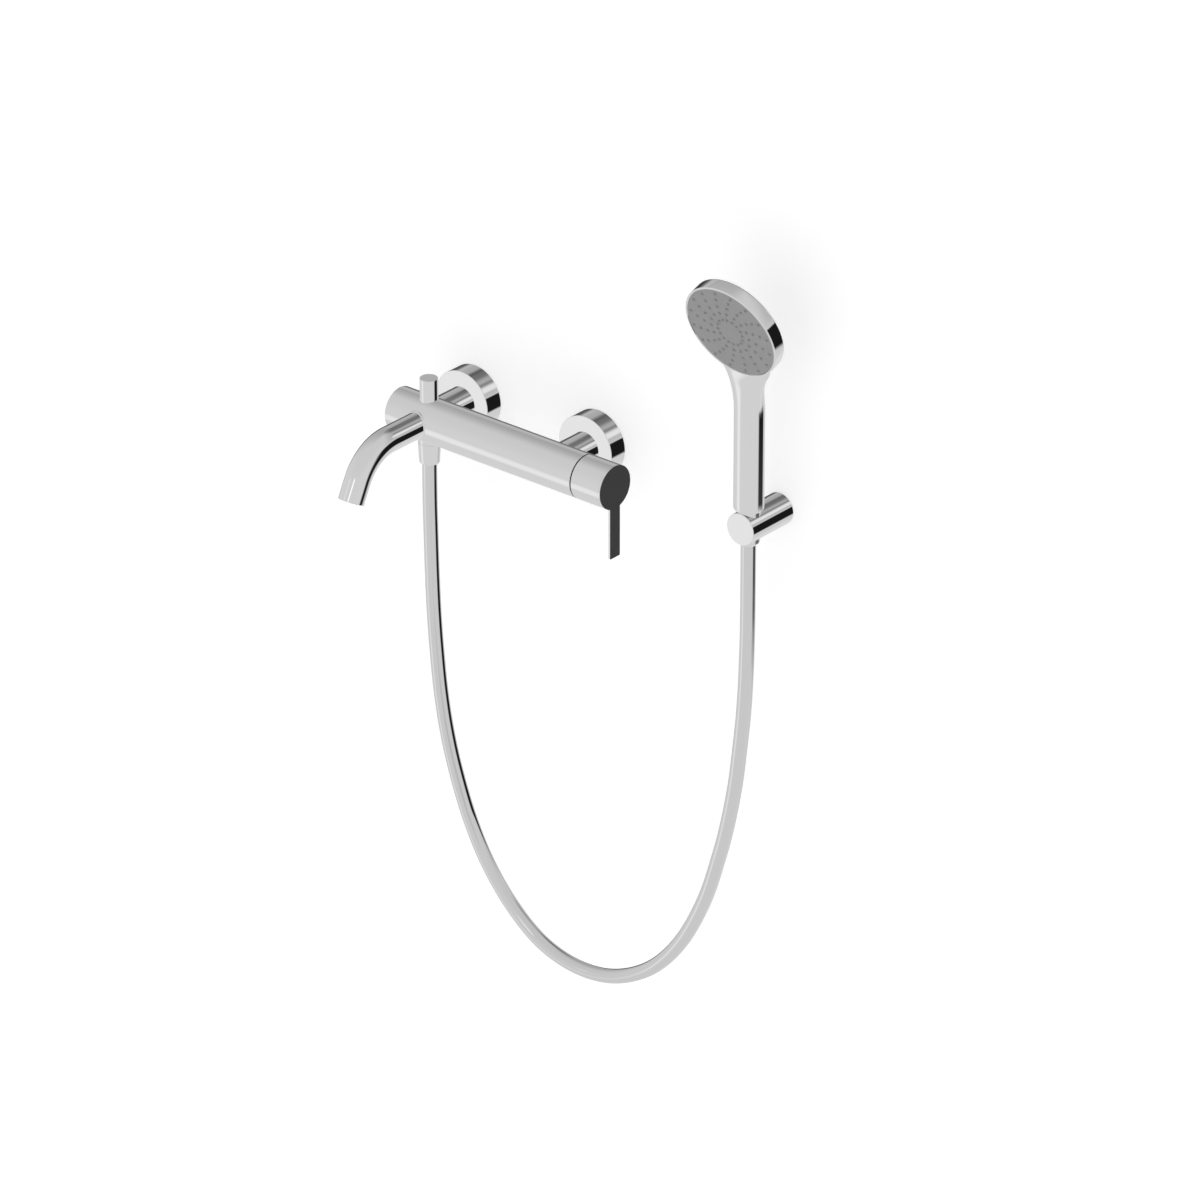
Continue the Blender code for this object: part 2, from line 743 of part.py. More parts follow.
def lever_plate(name, start, thickness, finish):
    """A disc with a straight bar hanging from it, as one outline pushed through a thickness."""
    half = LEVER_WIDTH / 2
    meet = math.asin(half / BODY_RADIUS)
    turns = np.linspace(-math.pi / 2 + meet, 1.5 * math.pi - meet, 57)
    outline = [(BODY_RADIUS * math.cos(t), BODY_RADIUS * math.sin(t)) for t in turns]
    outline += [(-half, -LEVER_REACH), (half, -LEVER_REACH)]
    bm = bmesh.new()
    back = [bm.verts.new(on_axis(start, y, z)) for y, z in outline]
    front = [bm.verts.new(on_axis(start + thickness, y, z)) for y, z in outline]
    bm.faces.new(back)
    bm.faces.new(front)
    for i in range(len(outline)):
        j = (i + 1) % len(outline)
        bm.faces.new((back[i], back[j], front[j], front[i]))
    bmesh.ops.triangulate(bm, faces=bm.faces)
    return from_bmesh(name, bm, finish)


lever_plate("lever", LEVER_START, LEVER_THICKNESS, "chrome")
lever_plate("lever_face", LEVER_FACE_X - LEVER_FACE_THICKNESS, LEVER_FACE_THICKNESS, "dark_face")

# --- Diverter: knob, stem and poppet move up together against the spring ---
diverter_knob = turned(
    "diverter_knob",
    [
        (0.0, KNOB_TOP),
        (KNOB_RADIUS - EDGE, KNOB_TOP),
        (KNOB_RADIUS, KNOB_TOP - EDGE),
        (KNOB_RADIUS, KNOB_BOTTOM),
        (STEM_RADIUS + GAP, KNOB_BOTTOM),
        (STEM_RADIUS + GAP, KNOB_BOTTOM + 10 * MM),
        (0.0, KNOB_BOTTOM + 10 * MM),
    ],
    on_axis(LEFT),
    (0, 0, 1),
    "chrome",
    28,
)
STEM_TOP = KNOB_BOTTOM + 10 * MM - GAP
POPPET_LOW = DIVERTER_SEAT_HEIGHT + GAP + POPPET_SEAL_THICKNESS + GAP
turned(
    "diverter_stem",
    [
        (0.0, POPPET_LOW),
        (DIVERTER_BORE - GAP, POPPET_LOW),
        (DIVERTER_BORE - GAP, POPPET_LOW + POPPET_THICKNESS),
        (STEM_RADIUS, POPPET_LOW + POPPET_THICKNESS),
        (STEM_RADIUS, STEM_TOP),
        (0.0, STEM_TOP),
    ],
    on_axis(LEFT),
    (0, 0, 1),
    "brass",
    16,
)
rod(
    "diverter_seal",
    on_axis(LEFT, 0, DIVERTER_SEAT_HEIGHT + GAP),
    on_axis(LEFT, 0, DIVERTER_SEAT_HEIGHT + GAP + POPPET_SEAL_THICKNESS),
    DIVERTER_BORE - GAP,
    "rubber",
    16,
)
turned(
    "diverter_bushing",
    [
        (STEM_RADIUS + GAP, BUSHING_BOTTOM),
        (DIVERTER_BORE - GAP, BUSHING_BOTTOM),
        (DIVERTER_BORE - GAP, BUSHING_TOP),
        (STEM_RADIUS + GAP, BUSHING_TOP),
    ],
    on_axis(LEFT),
    (0, 0, 1),
    "brass",
    16,
)


def tube_along(name, points, radius, finish, resolution):
    """A round solid along a list of points, made from a curve with filled ends."""
    curve = bpy.data.curves.new(name, "CURVE")
    curve.dimensions = "3D"
    curve.bevel_depth = radius
    curve.bevel_resolution = resolution
    curve.use_fill_caps = True
    spline = curve.splines.new("POLY")
    spline.points.add(len(points) - 1)
    for spot, point in zip(spline.points, points):
        spot.co = (*point, 1.0)
    helper = bpy.data.objects.new(f"{name} curve", curve)
    CUTTERS.objects.link(helper)
    bpy.context.view_layer.update()
    mesh = bpy.data.meshes.new_from_object(helper.evaluated_get(bpy.context.evaluated_depsgraph_get()))
    bpy.data.objects.remove(helper, do_unlink=True)
    bm = bmesh.new()
    bm.from_mesh(mesh)
    bmesh.ops.remove_doubles(bm, verts=bm.verts, dist=1e-6)
    bpy.data.meshes.remove(mesh)
    return from_bmesh(name, bm, finish)


spring_low = POPPET_LOW + POPPET_THICKNESS + GAP + SPRING_WIRE / 2
spring_high = BUSHING_BOTTOM - GAP - SPRING_WIRE / 2
spring_points = []
for i in range(SPRING_TURNS * 9 + 1):
    turn = 2 * math.pi * i / 9
    height = spring_low + (spring_high - spring_low) * i / (SPRING_TURNS * 9)
    across = Vector((SPRING_RADIUS * math.cos(turn), SPRING_RADIUS * math.sin(turn), height))
    spring_points.append(on_axis(LEFT) + across)
tube_along("diverter_spring", spring_points, SPRING_WIRE / 2, "steel", 1)


# --- Spout: straight, one bend down, short straight end; its centreline is in the plane x = LEFT ---
def spout_point(distance):
    """(point, direction) on the spout's centreline, this far along it from the body's axis."""
    bend_length = SPOUT_BEND_RADIUS * SPOUT_BEND_ANGLE
    past = distance - SPOUT_STRAIGHT
    turn = min(max(past / SPOUT_BEND_RADIUS, 0.0), SPOUT_BEND_ANGLE)
    straight = min(distance, SPOUT_STRAIGHT)
    after = max(past - bend_length, 0.0)
    forward = straight + SPOUT_BEND_RADIUS * math.sin(turn) + after * math.cos(turn)
    drop = SPOUT_BEND_RADIUS * (1 - math.cos(turn)) + after * math.sin(turn)
    return on_axis(LEFT, -forward, -drop), Vector((0, -math.cos(turn), -math.sin(turn)))


def spout_rings(radius, start, end, count):
    rings = []
    bend_length = SPOUT_BEND_RADIUS * SPOUT_BEND_ANGLE
    stops = [start, SPOUT_STRAIGHT]
    stops += [SPOUT_STRAIGHT + bend_length * i / 12 for i in range(1, 13)]
    stops += [end]
    for stop in stops:
        centre, along = spout_point(stop)
        side = Vector((1, 0, 0))
        up = along.cross(side)
        turns = [2 * math.pi * i / count for i in range(count)]
        rings.append([centre + radius * (math.cos(t) * side + math.sin(t) * up) for t in turns])
    return rings


SPOUT_LENGTH = SPOUT_STRAIGHT + SPOUT_BEND_RADIUS * SPOUT_BEND_ANGLE + SPOUT_END
spout_pipe = loft("spout_pipe", spout_rings(SPOUT_RADIUS, 8 * MM, SPOUT_LENGTH, 28), "chrome")
cut_all(
    spout_pipe,
    loft("spout bore", spout_rings(SPOUT_BORE, 5 * MM, SPOUT_LENGTH + 5 * MM, 28)),
    bore(on_axis(LEFT - 30 * MM), on_axis(LEFT + 30 * MM), BODY_RADIUS + GAP, 40),
)
spout_tip, spout_down = spout_point(SPOUT_LENGTH)

nipple_front = -CORE_RADIUS - 0.35 * MM
turned(
    "spout_nipple",
    [
        (SPOUT_PORT_RADIUS, 0.0),
        (SPOUT_BORE - GAP, 0.0),
        (SPOUT_BORE - GAP, SPOUT_NIPPLE_LENGTH),
        (SPOUT_PORT_RADIUS, SPOUT_NIPPLE_LENGTH),
    ],
    on_axis(LEFT, nipple_front),
    (0, -1, 0),
    "brass",
    20,
)
AERATOR_INSIDE = SPOUT_BORE - GAP - AERATOR_WALL
turned(
    "aerator_housing",
    [
        (AERATOR_INSIDE, 0.5 * MM),
        (SPOUT_BORE - GAP, 0.5 * MM),
        (SPOUT_BORE - GAP, AERATOR_LENGTH),
        (AERATOR_INSIDE - 2 * MM, AERATOR_LENGTH),
        (AERATOR_INSIDE - 2 * MM, AERATOR_LENGTH - 1.5 * MM),
        (AERATOR_INSIDE, AERATOR_LENGTH - 1.5 * MM),
    ],
    spout_tip,
    -spout_down,
    "chrome",
    20,
)
rod(
    "aerator_insert",
    spout_tip - spout_down * 1.5 * MM,
    spout_tip - spout_down * (AERATOR_LENGTH - 1.5 * MM - GAP),
    AERATOR_INSIDE - GAP,
    "white_plastic",
    20,
)
turned(
    "aerator_washer",
    [
        (AERATOR_INSIDE - 1 * MM, AERATOR_LENGTH + GAP),
        (SPOUT_BORE - GAP, AERATOR_LENGTH + GAP),
        (SPOUT_BORE - GAP, AERATOR_LENGTH + GAP + 1.5 * MM),
        (AERATOR_INSIDE - 1 * MM, AERATOR_LENGTH + GAP + 1.5 * MM),
    ],
    spout_tip,
    -spout_down,
    "rubber",
    20,
)

# --- Hose outlet and the hose's nut, washer and ferrule, at both ends alike ---
THREAD_END = OUTLET_STUB_BOTTOM - HOSE_THREAD_LENGTH
turned(
    "hose_outlet",
    [
        (DIVERTER_SEAT_RADIUS, -CORE_RADIUS - 0.35 * MM),
        (OUTLET_RADIUS, -CORE_RADIUS - 0.35 * MM),
        (OUTLET_RADIUS, OUTLET_STUB_BOTTOM),
        (HOSE_THREAD_RADIUS, OUTLET_STUB_BOTTOM),
        (HOSE_THREAD_RADIUS, THREAD_END),
        (DIVERTER_SEAT_RADIUS, THREAD_END),
    ],
    on_axis(LEFT),
    (0, 0, 1),
    "brass",
    20,
)


def hose_end(prefix, place_xy, thread_end, nut_profile):
    """Washer, ferrule and nut below a thread; returns the height where the hose starts."""
    base = (place_xy[0], place_xy[1], 0)
    washer_top = thread_end - GAP
    ferrule_top = washer_top - WASHER_THICKNESS - GAP
    ferrule_low = ferrule_top - FERRULE_THICKNESS
    for name, top, thickness, finish in (
        (f"{prefix}_washer", washer_top, WASHER_THICKNESS, "rubber"),
        (f"{prefix}_ferrule", ferrule_top, FERRULE_THICKNESS, "brass"),
    ):
        turned(
            name,
            [
                (HOSE_BORE, top),
                (HOSE_THREAD_RADIUS, top),
                (HOSE_THREAD_RADIUS, top - thickness),
                (HOSE_BORE, top - thickness),
            ],
            base,
            (0, 0, 1),
            finish,
            24,
        )
    shoulder = ferrule_low - GAP
    nut_low = nut_profile[-1][1]
    inside = [
        (HOSE_RADIUS + GAP, nut_low),
        (HOSE_RADIUS + GAP, shoulder),
        (HOSE_THREAD_RADIUS + GAP, shoulder),
        (HOSE_THREAD_RADIUS + GAP, nut_profile[0][1]),
    ]
    turned(f"{prefix}_nut", nut_profile + inside, base, (0, 0, 1), "chrome", 28)
    return shoulder


nut_top = OUTLET_STUB_BOTTOM - GAP
nut_low = nut_top - HOSE_NUT_LENGTH
hose_start = hose_end(
    "hose",
    (LEFT, AXIS_Y),
    THREAD_END,
    [
        (HOSE_NUT_TOP_RADIUS, nut_top),
        (HOSE_NUT_BOTTOM_RADIUS, nut_low + 0.8 * MM),
        (HOSE_NUT_BOTTOM_RADIUS - 0.8 * MM, nut_low),
    ],
)
SOCKET_Y = -SOCKET_FROM_WALL
INLET_END = HANDLE_BOTTOM - HOSE_THREAD_LENGTH
cone_top = HANDLE_BOTTOM - GAP
cone_low = cone_top - CONE_LENGTH
hose_finish = hose_end(
    "shower_hose",
    (HOLDER_X, SOCKET_Y),
    INLET_END,
    [
        (CONE_TOP_RADIUS, cone_top),
        (CONE_BOTTOM_RADIUS, cone_low + CONE_CHAMFER),
        (CONE_BOTTOM_RADIUS - CONE_CHAMFER, cone_low),
    ],
)

# The hose hangs in a loop. Its points are (x, z) in millimetres, and its distance from the wall
# changes evenly from the mixer's outlet to the holder's socket.
HOSE_ROUTE = [
    (-75.0, -64.0),
    (-74.8, -90.0),
    (-74.2, -118.0),
    (-73.2, -158.0),
    (-71.5, -198.0),
    (-68.6, -238.0),
    (-64.2, -280.0),
    (-57.4, -320.0),
    (-47.0, -360.0),
    (-31.0, -405.0),
    (-9.5, -446.5),
    (19.5, -483.0),
    (55.0, -510.5),
    (97.0, -522.5),
    (140.0, -517.5),
    (182.0, -494.0),
    (216.0, -455.0),
    (242.5, -403.0),
    (259.5, -350.0),
    (269.5, -310.0),
    (277.0, -270.0),
    (282.0, -230.0),
    (286.0, -190.0),
    (288.2, -150.0),
    (289.3, -107.0),
    (289.5, -70.0),
    (289.5, -40.0),
]


def smooth_path(knots, per_span):
    """Catmull-Rom curve through the knots, with this many steps between each two."""
    knots = np.array(knots)
    padded = np.vstack([2 * knots[0] - knots[1], knots, 2 * knots[-1] - knots[-2]])
    t = np.linspace(0, 1, per_span, endpoint=False)[:, None]
    spans = []
    for a, b, c, d in zip(padded, padded[1:], padded[2:], padded[3:]):
        square = (2 * a - 5 * b + 4 * c - d) * t**2
        cube = (3 * b - a - 3 * c + d) * t**3
        spans.append(0.5 * (2 * b + (c - a) * t + square + cube))
    return np.vstack([*spans, knots[-1:]])


knots = [(LEFT, AXIS_Y, hose_start)]
for x, z in HOSE_ROUTE:
    share = min(max((x * MM - LEFT) / (HOLDER_X - LEFT), 0.0), 1.0)
    knots.append((x * MM, AXIS_Y + (SOCKET_Y - AXIS_Y) * share, z * MM))
knots.append((HOLDER_X, SOCKET_Y, hose_finish))
tube_along("hose", smooth_path(knots, 2), HOSE_RADIUS, "hose_silver", 3)

# --- Wall holder: post with a slotted socket, on a plate screwed to the wall ---
holder_point = (HOLDER_X, 0, HOLDER_HEIGHT)
holder_post = turned(
    "holder_post",
    [
        (0.0, 0.0),
        (HOLDER_RADIUS, 0.0),
        (HOLDER_RADIUS, HOLDER_DEPTH - EDGE),
        (HOLDER_RADIUS - EDGE, HOLDER_DEPTH),
        (0.0, HOLDER_DEPTH),
    ],
    holder_point,
    (0, -1, 0),
    "chrome",
    36,
)
cut(
    holder_post,
    turned(
        "socket cutter",
        [
            (0.0, HOLDER_HEIGHT - HOLDER_RADIUS - PAST),
            (CONE_BOTTOM_RADIUS + GAP, HOLDER_HEIGHT - HOLDER_RADIUS - PAST),
            (CONE_TOP_RADIUS + GAP, HOLDER_HEIGHT + HOLDER_RADIUS + PAST),
            (0.0, HOLDER_HEIGHT + HOLDER_RADIUS + PAST),
        ],
        (HOLDER_X, SOCKET_Y, 0),
        (0, 0, 1),
        None,
        28,
    ),
)
cut(
    holder_post,
    box(
        "slot cutter",
        (HOLDER_X - HOLDER_RADIUS - PAST, SOCKET_Y - SOCKET_SLOT / 2, HOLDER_HEIGHT - HOLDER_RADIUS - PAST),
        (HOLDER_X, SOCKET_Y + SOCKET_SLOT / 2, HOLDER_HEIGHT + HOLDER_RADIUS + PAST),
    ),
)
drill(
    holder_post,
    (HOLDER_X, 5 * MM, HOLDER_HEIGHT),
    (HOLDER_X, -HOLDER_HOLLOW_DEPTH, HOLDER_HEIGHT),
    HOLDER_HOLLOW_RADIUS,
    28,
)
GRUB_Y = -WALL_PLATE_DEPTH / 2
drill(
    holder_post,
    (HOLDER_X, GRUB_Y, HOLDER_HEIGHT - 8 * MM),
    (HOLDER_X, GRUB_Y, HOLDER_HEIGHT - 30 * MM),
    GRUB_RADIUS + GAP,
    12,
)
holder_wall_plate = turned(
    "holder_wall_plate",
    [
        (WALL_SCREW_RADIUS + GAP, 0.0),
        (HOLDER_HOLLOW_RADIUS - GAP, 0.0),
        (HOLDER_HOLLOW_RADIUS - GAP, WALL_PLATE_DEPTH),
        (WALL_SCREW_HEAD + GAP, WALL_PLATE_DEPTH),
        (WALL_SCREW_HEAD + GAP, WALL_PLATE_DEPTH - 2.0 * MM),
        (WALL_SCREW_RADIUS + GAP, WALL_PLATE_DEPTH - 4.5 * MM),
    ],
    holder_point,
    (0, -1, 0),
    "brass",
    20,
)
plate_low = HOLDER_HEIGHT - HOLDER_HOLLOW_RADIUS + GAP
drill(
    holder_wall_plate,
    (HOLDER_X, GRUB_Y, plate_low + 3 * MM),
    (HOLDER_X, GRUB_Y, plate_low - 5 * MM),
    GRUB_RADIUS + GAP,
    12,
)
holder_grub_screw = rod(
    "holder_grub_screw",
    (HOLDER_X, GRUB_Y, plate_low + 3 * MM - GAP),
    (HOLDER_X, GRUB_Y, HOLDER_HEIGHT - HOLDER_RADIUS + 0.5 * MM),
    GRUB_RADIUS,
    "steel",
    12,
)
drill(
    holder_grub_screw,
    (HOLDER_X, GRUB_Y, HOLDER_HEIGHT - HOLDER_RADIUS + 2 * MM),
    (HOLDER_X, GRUB_Y, HOLDER_HEIGHT - HOLDER_RADIUS - 3 * MM),
    1.3 * MM,
    6,
)
holder_wall_screw = turned(
    "holder_wall_screw",
    [
        (0.0, -WALL_SCREW_LENGTH),
        (WALL_SCREW_RADIUS, 3 * MM - WALL_SCREW_LENGTH),
        (WALL_SCREW_RADIUS, WALL_PLATE_DEPTH - 4.3 * MM),
        (WALL_SCREW_HEAD, WALL_PLATE_DEPTH - 1.8 * MM),
        (WALL_SCREW_HEAD, WALL_PLATE_DEPTH - 0.5 * MM),
        (0.0, WALL_PLATE_DEPTH - 0.5 * MM),
    ],
    holder_point,
    (0, -1, 0),
    "steel",
    16,
)

# --- Hand shower: shell of handle, neck and head, with its inside parts ---
FACE_NORMAL = Vector((0, -math.cos(HEAD_TILT), -math.sin(HEAD_TILT)))
FACE_CENTRE = Vector((HOLDER_X, -FACE_FROM_WALL, FACE_HEIGHT))
NECK_SECTIONS = [
    # height, half width, half depth, distance from the wall
    (HANDLE_BOTTOM, HANDLE_RADIUS - 2.0 * MM, HANDLE_RADIUS - 2.0 * MM, SOCKET_FROM_WALL),
    (HANDLE_BOTTOM + 0.6 * MM, HANDLE_RADIUS - 0.6 * MM, HANDLE_RADIUS - 0.6 * MM, SOCKET_FROM_WALL),
    (HANDLE_BOTTOM + 2.0 * MM, HANDLE_RADIUS, HANDLE_RADIUS, SOCKET_FROM_WALL),
    (HANDLE_STRAIGHT_TOP, HANDLE_RADIUS, HANDLE_RADIUS, SOCKET_FROM_WALL),
    (124.0 * MM, HANDLE_RADIUS + 0.2 * MM, HANDLE_RADIUS - 0.4 * MM, 45.9 * MM),
    (133.0 * MM, HANDLE_RADIUS + 1.1 * MM, HANDLE_RADIUS - 1.2 * MM, 47.2 * MM),
    (142.0 * MM, HANDLE_RADIUS + 3.5 * MM, HANDLE_RADIUS - 2.0 * MM, 48.8 * MM),
    (150.0 * MM, HANDLE_RADIUS + 7.4 * MM, HANDLE_RADIUS - 3.0 * MM, 50.4 * MM),
    (157.0 * MM, 26.0 * MM, 9.6 * MM, 51.9 * MM),
    (166.0 * MM, 30.0 * MM, 7.0 * MM, 55.0 * MM),
]


def oval(height, half_width, half_depth, from_wall, count=28):
    turns = [2 * math.pi * i / count for i in range(count)]
    centre = Vector((HOLDER_X, -from_wall, height))
    return [centre + Vector((half_width * math.cos(t), half_depth * math.sin(t), 0)) for t in turns]


handset_shell = loft("handset_shell", [oval(*section) for section in NECK_SECTIONS], "chrome")
dome_turns = np.linspace(0, math.pi / 2, 9)[:-1]
dome = [(HEAD_RADIUS * math.cos(t), HEAD_RIM + HEAD_DOME * math.sin(t)) for t in dome_turns]
head = turned(
    "head block",
    [(0.0, 0.0), (HEAD_RADIUS - EDGE, 0.0), (HEAD_RADIUS, EDGE), *dome, (0.0, HEAD_RIM + HEAD_DOME)],
    FACE_CENTRE,
    -FACE_NORMAL,
    None,
    40,
)
join(handset_shell, head)
chamber_floor = FACE_CENTRE - FACE_NORMAL * HEAD_CHAMBER
HANDLE_BORE_TOP = 122.0 * MM
PASSAGE = 5.5 * MM
passage_turn = Vector((0, -0.19, 1)).normalized()
passage_start = Vector((HOLDER_X, SOCKET_Y - 1 * MM, HANDLE_BORE_TOP - 4 * MM))
cut_all(
    handset_shell,
    bore(FACE_CENTRE + FACE_NORMAL * PAST, chamber_floor, FACE_RADIUS + GAP, 40),
    bore((HOLDER_X, SOCKET_Y, HANDLE_BOTTOM - PAST), (HOLDER_X, SOCKET_Y, HANDLE_BORE_TOP), HANDLE_BORE, 20),
    bore(passage_start, passage_start + passage_turn * 46 * MM, PASSAGE, 16),
)

rod("spray_face", FACE_CENTRE, FACE_CENTRE - FACE_NORMAL * FACE_THICKNESS, FACE_RADIUS, "grey_plastic", 40)
mat_front = FACE_THICKNESS + GAP
rod(
    "nozzle_mat",
    FACE_CENTRE - FACE_NORMAL * mat_front,
    FACE_CENTRE - FACE_NORMAL * (mat_front + MAT_THICKNESS),
    FACE_RADIUS - 2 * MM,
    "grey_plastic",
    32,
)
distributor_front = mat_front + MAT_THICKNESS + GAP
rod(
    "spray_distributor",
    FACE_CENTRE - FACE_NORMAL * distributor_front,
    FACE_CENTRE - FACE_NORMAL * (distributor_front + DISTRIBUTOR_THICKNESS),
    FACE_RADIUS - 5 * MM,
    "white_plastic",
    28,
)
seal_front = distributor_front
turned(
    "head_seal",
    [
        (FACE_RADIUS - 4.5 * MM, seal_front),
        (FACE_RADIUS - 1.0 * MM, seal_front),
        (FACE_RADIUS - 1.0 * MM, seal_front + 2.5 * MM),
        (FACE_RADIUS - 4.5 * MM, seal_front + 2.5 * MM),
    ],
    FACE_CENTRE,
    -FACE_NORMAL,
    "rubber",
    28,
)
turned(
    "handset_inlet",
    [
        (HOSE_BORE, INLET_END),
        (HOSE_THREAD_RADIUS, INLET_END),
        (HOSE_THREAD_RADIUS, HANDLE_BOTTOM + 1 * MM),
        (HANDLE_BORE - GAP, HANDLE_BOTTOM + 1 * MM),
        (HANDLE_BORE - GAP, HANDLE_BOTTOM + 9 * MM),
        (HOSE_BORE, HANDLE_BOTTOM + 9 * MM),
    ],
    (HOLDER_X, SOCKET_Y, 0),
    (0, 0, 1),
    "brass",
    20,
)
turned(
    "handset_water_tube",
    [
        (4.5 * MM, HANDLE_BOTTOM + 9.3 * MM),
        (6.5 * MM, HANDLE_BOTTOM + 9.3 * MM),
        (6.5 * MM, HANDLE_BORE_TOP - GAP),
        (4.5 * MM, HANDLE_BORE_TOP - GAP),
    ],
    (HOLDER_X, SOCKET_Y, 0),
    (0, 0, 1),
    "white_plastic",
    16,
)
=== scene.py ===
import json
import math

import bmesh
import bpy
import numpy as np
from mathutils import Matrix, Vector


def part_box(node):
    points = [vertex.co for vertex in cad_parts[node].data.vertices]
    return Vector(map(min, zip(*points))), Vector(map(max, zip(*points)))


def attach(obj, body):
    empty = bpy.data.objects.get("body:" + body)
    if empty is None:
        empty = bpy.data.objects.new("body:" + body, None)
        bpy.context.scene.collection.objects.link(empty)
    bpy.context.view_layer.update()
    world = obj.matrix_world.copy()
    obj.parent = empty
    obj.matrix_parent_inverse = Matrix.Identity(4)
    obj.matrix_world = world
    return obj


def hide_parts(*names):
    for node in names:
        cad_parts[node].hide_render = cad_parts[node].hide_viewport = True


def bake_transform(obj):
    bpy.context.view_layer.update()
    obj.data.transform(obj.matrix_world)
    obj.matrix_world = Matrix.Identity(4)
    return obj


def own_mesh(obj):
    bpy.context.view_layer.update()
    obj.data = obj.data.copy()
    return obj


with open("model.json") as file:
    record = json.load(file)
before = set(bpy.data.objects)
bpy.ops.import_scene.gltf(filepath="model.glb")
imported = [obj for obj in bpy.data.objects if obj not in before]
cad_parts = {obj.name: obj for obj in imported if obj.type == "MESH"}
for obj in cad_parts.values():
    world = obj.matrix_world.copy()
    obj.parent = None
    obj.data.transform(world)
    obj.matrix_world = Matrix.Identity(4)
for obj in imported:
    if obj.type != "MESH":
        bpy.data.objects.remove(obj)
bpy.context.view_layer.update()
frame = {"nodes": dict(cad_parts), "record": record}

# --- Camera ---
# A long lens, to the right of the set and a little above it, looking at the middle of the
# hose's loop on the wall.
CAMERA_TURN = math.radians(40.10)
CAMERA_RISE = math.radians(26.85)
CAMERA_DISTANCE = 7.767
CAMERA_TARGET = np.array([0.07665, 0.0, -0.16325])
camera_back = np.array(
    [
        math.sin(CAMERA_TURN) * math.cos(CAMERA_RISE),
        -math.cos(CAMERA_TURN) * math.cos(CAMERA_RISE),
        math.sin(CAMERA_RISE),
    ]
)
camera_data = bpy.data.cameras.new("camera")
camera_data.lens = 251.2
camera_data.sensor_width = 36.0
camera_data.clip_end = 100.0
camera = bpy.data.objects.new("camera", camera_data)
camera.location = CAMERA_TARGET + CAMERA_DISTANCE * camera_back
camera.rotation_euler = (math.pi / 2 - CAMERA_RISE, 0.0, CAMERA_TURN)
bpy.context.scene.collection.objects.link(camera)
bpy.context.scene.camera = camera

# --- Hose ---
# A smooth shower hose, 14 mm across: silver plastic skin over a braid. It hangs in one loop
# from the nut under the mixer to the nut under the hand shower.
MM = 0.001
HOSE_RADIUS = 7.0 * MM
HOSE_TO_FERRULE = 0.3 * MM
# The loop's points, as (along the wall, height). The distance from the wall changes evenly.
HOSE_ROUTE = [
    (-0.0750, -0.0640),
    (-0.0748, -0.0900),
    (-0.0742, -0.1180),
    (-0.0732, -0.1580),
    (-0.0715, -0.1980),
    (-0.0686, -0.2380),
    (-0.0642, -0.2800),
    (-0.0574, -0.3200),
    (-0.0470, -0.3600),
    (-0.0310, -0.4050),
    (-0.0095, -0.4465),
    (0.0195, -0.4830),
    (0.0550, -0.5105),
    (0.0970, -0.5225),
    (0.1400, -0.5175),
    (0.1820, -0.4940),
    (0.2160, -0.4550),
    (0.2425, -0.4030),
    (0.2595, -0.3500),
    (0.2695, -0.3100),
    (0.2770, -0.2700),
    (0.2820, -0.2300),
    (0.2860, -0.1900),
    (0.2882, -0.1500),
    (0.2893, -0.1070),
    (0.2895, -0.0700),
    (0.2895, -0.0400),
]


def middle(node):
    """Half way between the lowest and the highest corner of a CAD node."""
    low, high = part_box(node)
    return np.array((low + high) / 2)


def smooth_path(knots, per_span):
    """Catmull-Rom curve: each span is the cubic through its two knots whose slopes there are
    half the steps between their neighbours."""
    knots = np.array(knots)
    padded = np.vstack([2 * knots[0] - knots[1], knots, 2 * knots[-1] - knots[-2]])
    t = np.linspace(0, 1, per_span, endpoint=False)[None, :, None]
    a, b, c, d = (padded[i : len(padded) - 3 + i, None, :] for i in range(4))
    slope = (c - a) * t
    square = (2 * a - 5 * b + 4 * c - d) * t**2
    cube = (3 * b - a - 3 * c + d) * t**3
    spans = 0.5 * (2 * b + slope + square + cube)
    return np.vstack([spans.reshape(-1, knots.shape[1]), knots[-1:]])


def surface(name, grid, ring=False, uv=False):
    """One closed surface from a grid of points, rows by columns, or many from a stack of like
    grids. Columns always join round; rows join too on a ring. Otherwise the first and last
    rows are single points."""
    rows, columns = grid.shape[-3:-1]
    index = np.arange(rows * columns).reshape(rows, columns)
    if ring:
        index = np.vstack([index, index[:1]])
    right = np.roll(index, -1, axis=1)
    corners = (index[:-1], right[:-1], right[1:], index[1:])
    quads = np.stack(corners, axis=-1).reshape(-1, 4)
    first_points = np.arange(0, grid.size // 3, rows * columns)
    quads = (quads + first_points[:, None, None]).reshape(-1, 4)
    mesh = bpy.data.meshes.new(name)
    mesh.from_pydata(grid.reshape(-1, 3).tolist(), [], quads.tolist())
    if uv:
        along = np.repeat(np.arange(rows - 1), columns) / (rows - 1)
        around = np.tile(np.arange(columns), rows - 1) / columns
        step = np.array([(0, 0), (1, 0), (1, 1), (0, 1)]) / (columns, rows - 1)
        places = np.stack([around, along], axis=-1)[:, None, :] + step[None]
        mesh.uv_layers.new(name="skin").data.foreach_set("uv", places.reshape(-1))
    bm = bmesh.new()
    bm.from_mesh(mesh)
    bmesh.ops.remove_doubles(bm, verts=bm.verts, dist=1e-7)
    bmesh.ops.recalc_face_normals(bm, faces=bm.faces)
    bm.to_mesh(mesh)
    bm.free()
    piece = bpy.data.objects.new(name, mesh)
    bpy.context.scene.collection.objects.link(piece)
    return piece


def smooth(piece, sharp_over=32):
    """Shades the piece smooth, and leaves edges that turn more than this many degrees sharp."""
    piece.data.shade_smooth()
    piece.data.set_sharp_from_angle(angle=math.radians(sharp_over))
    return piece


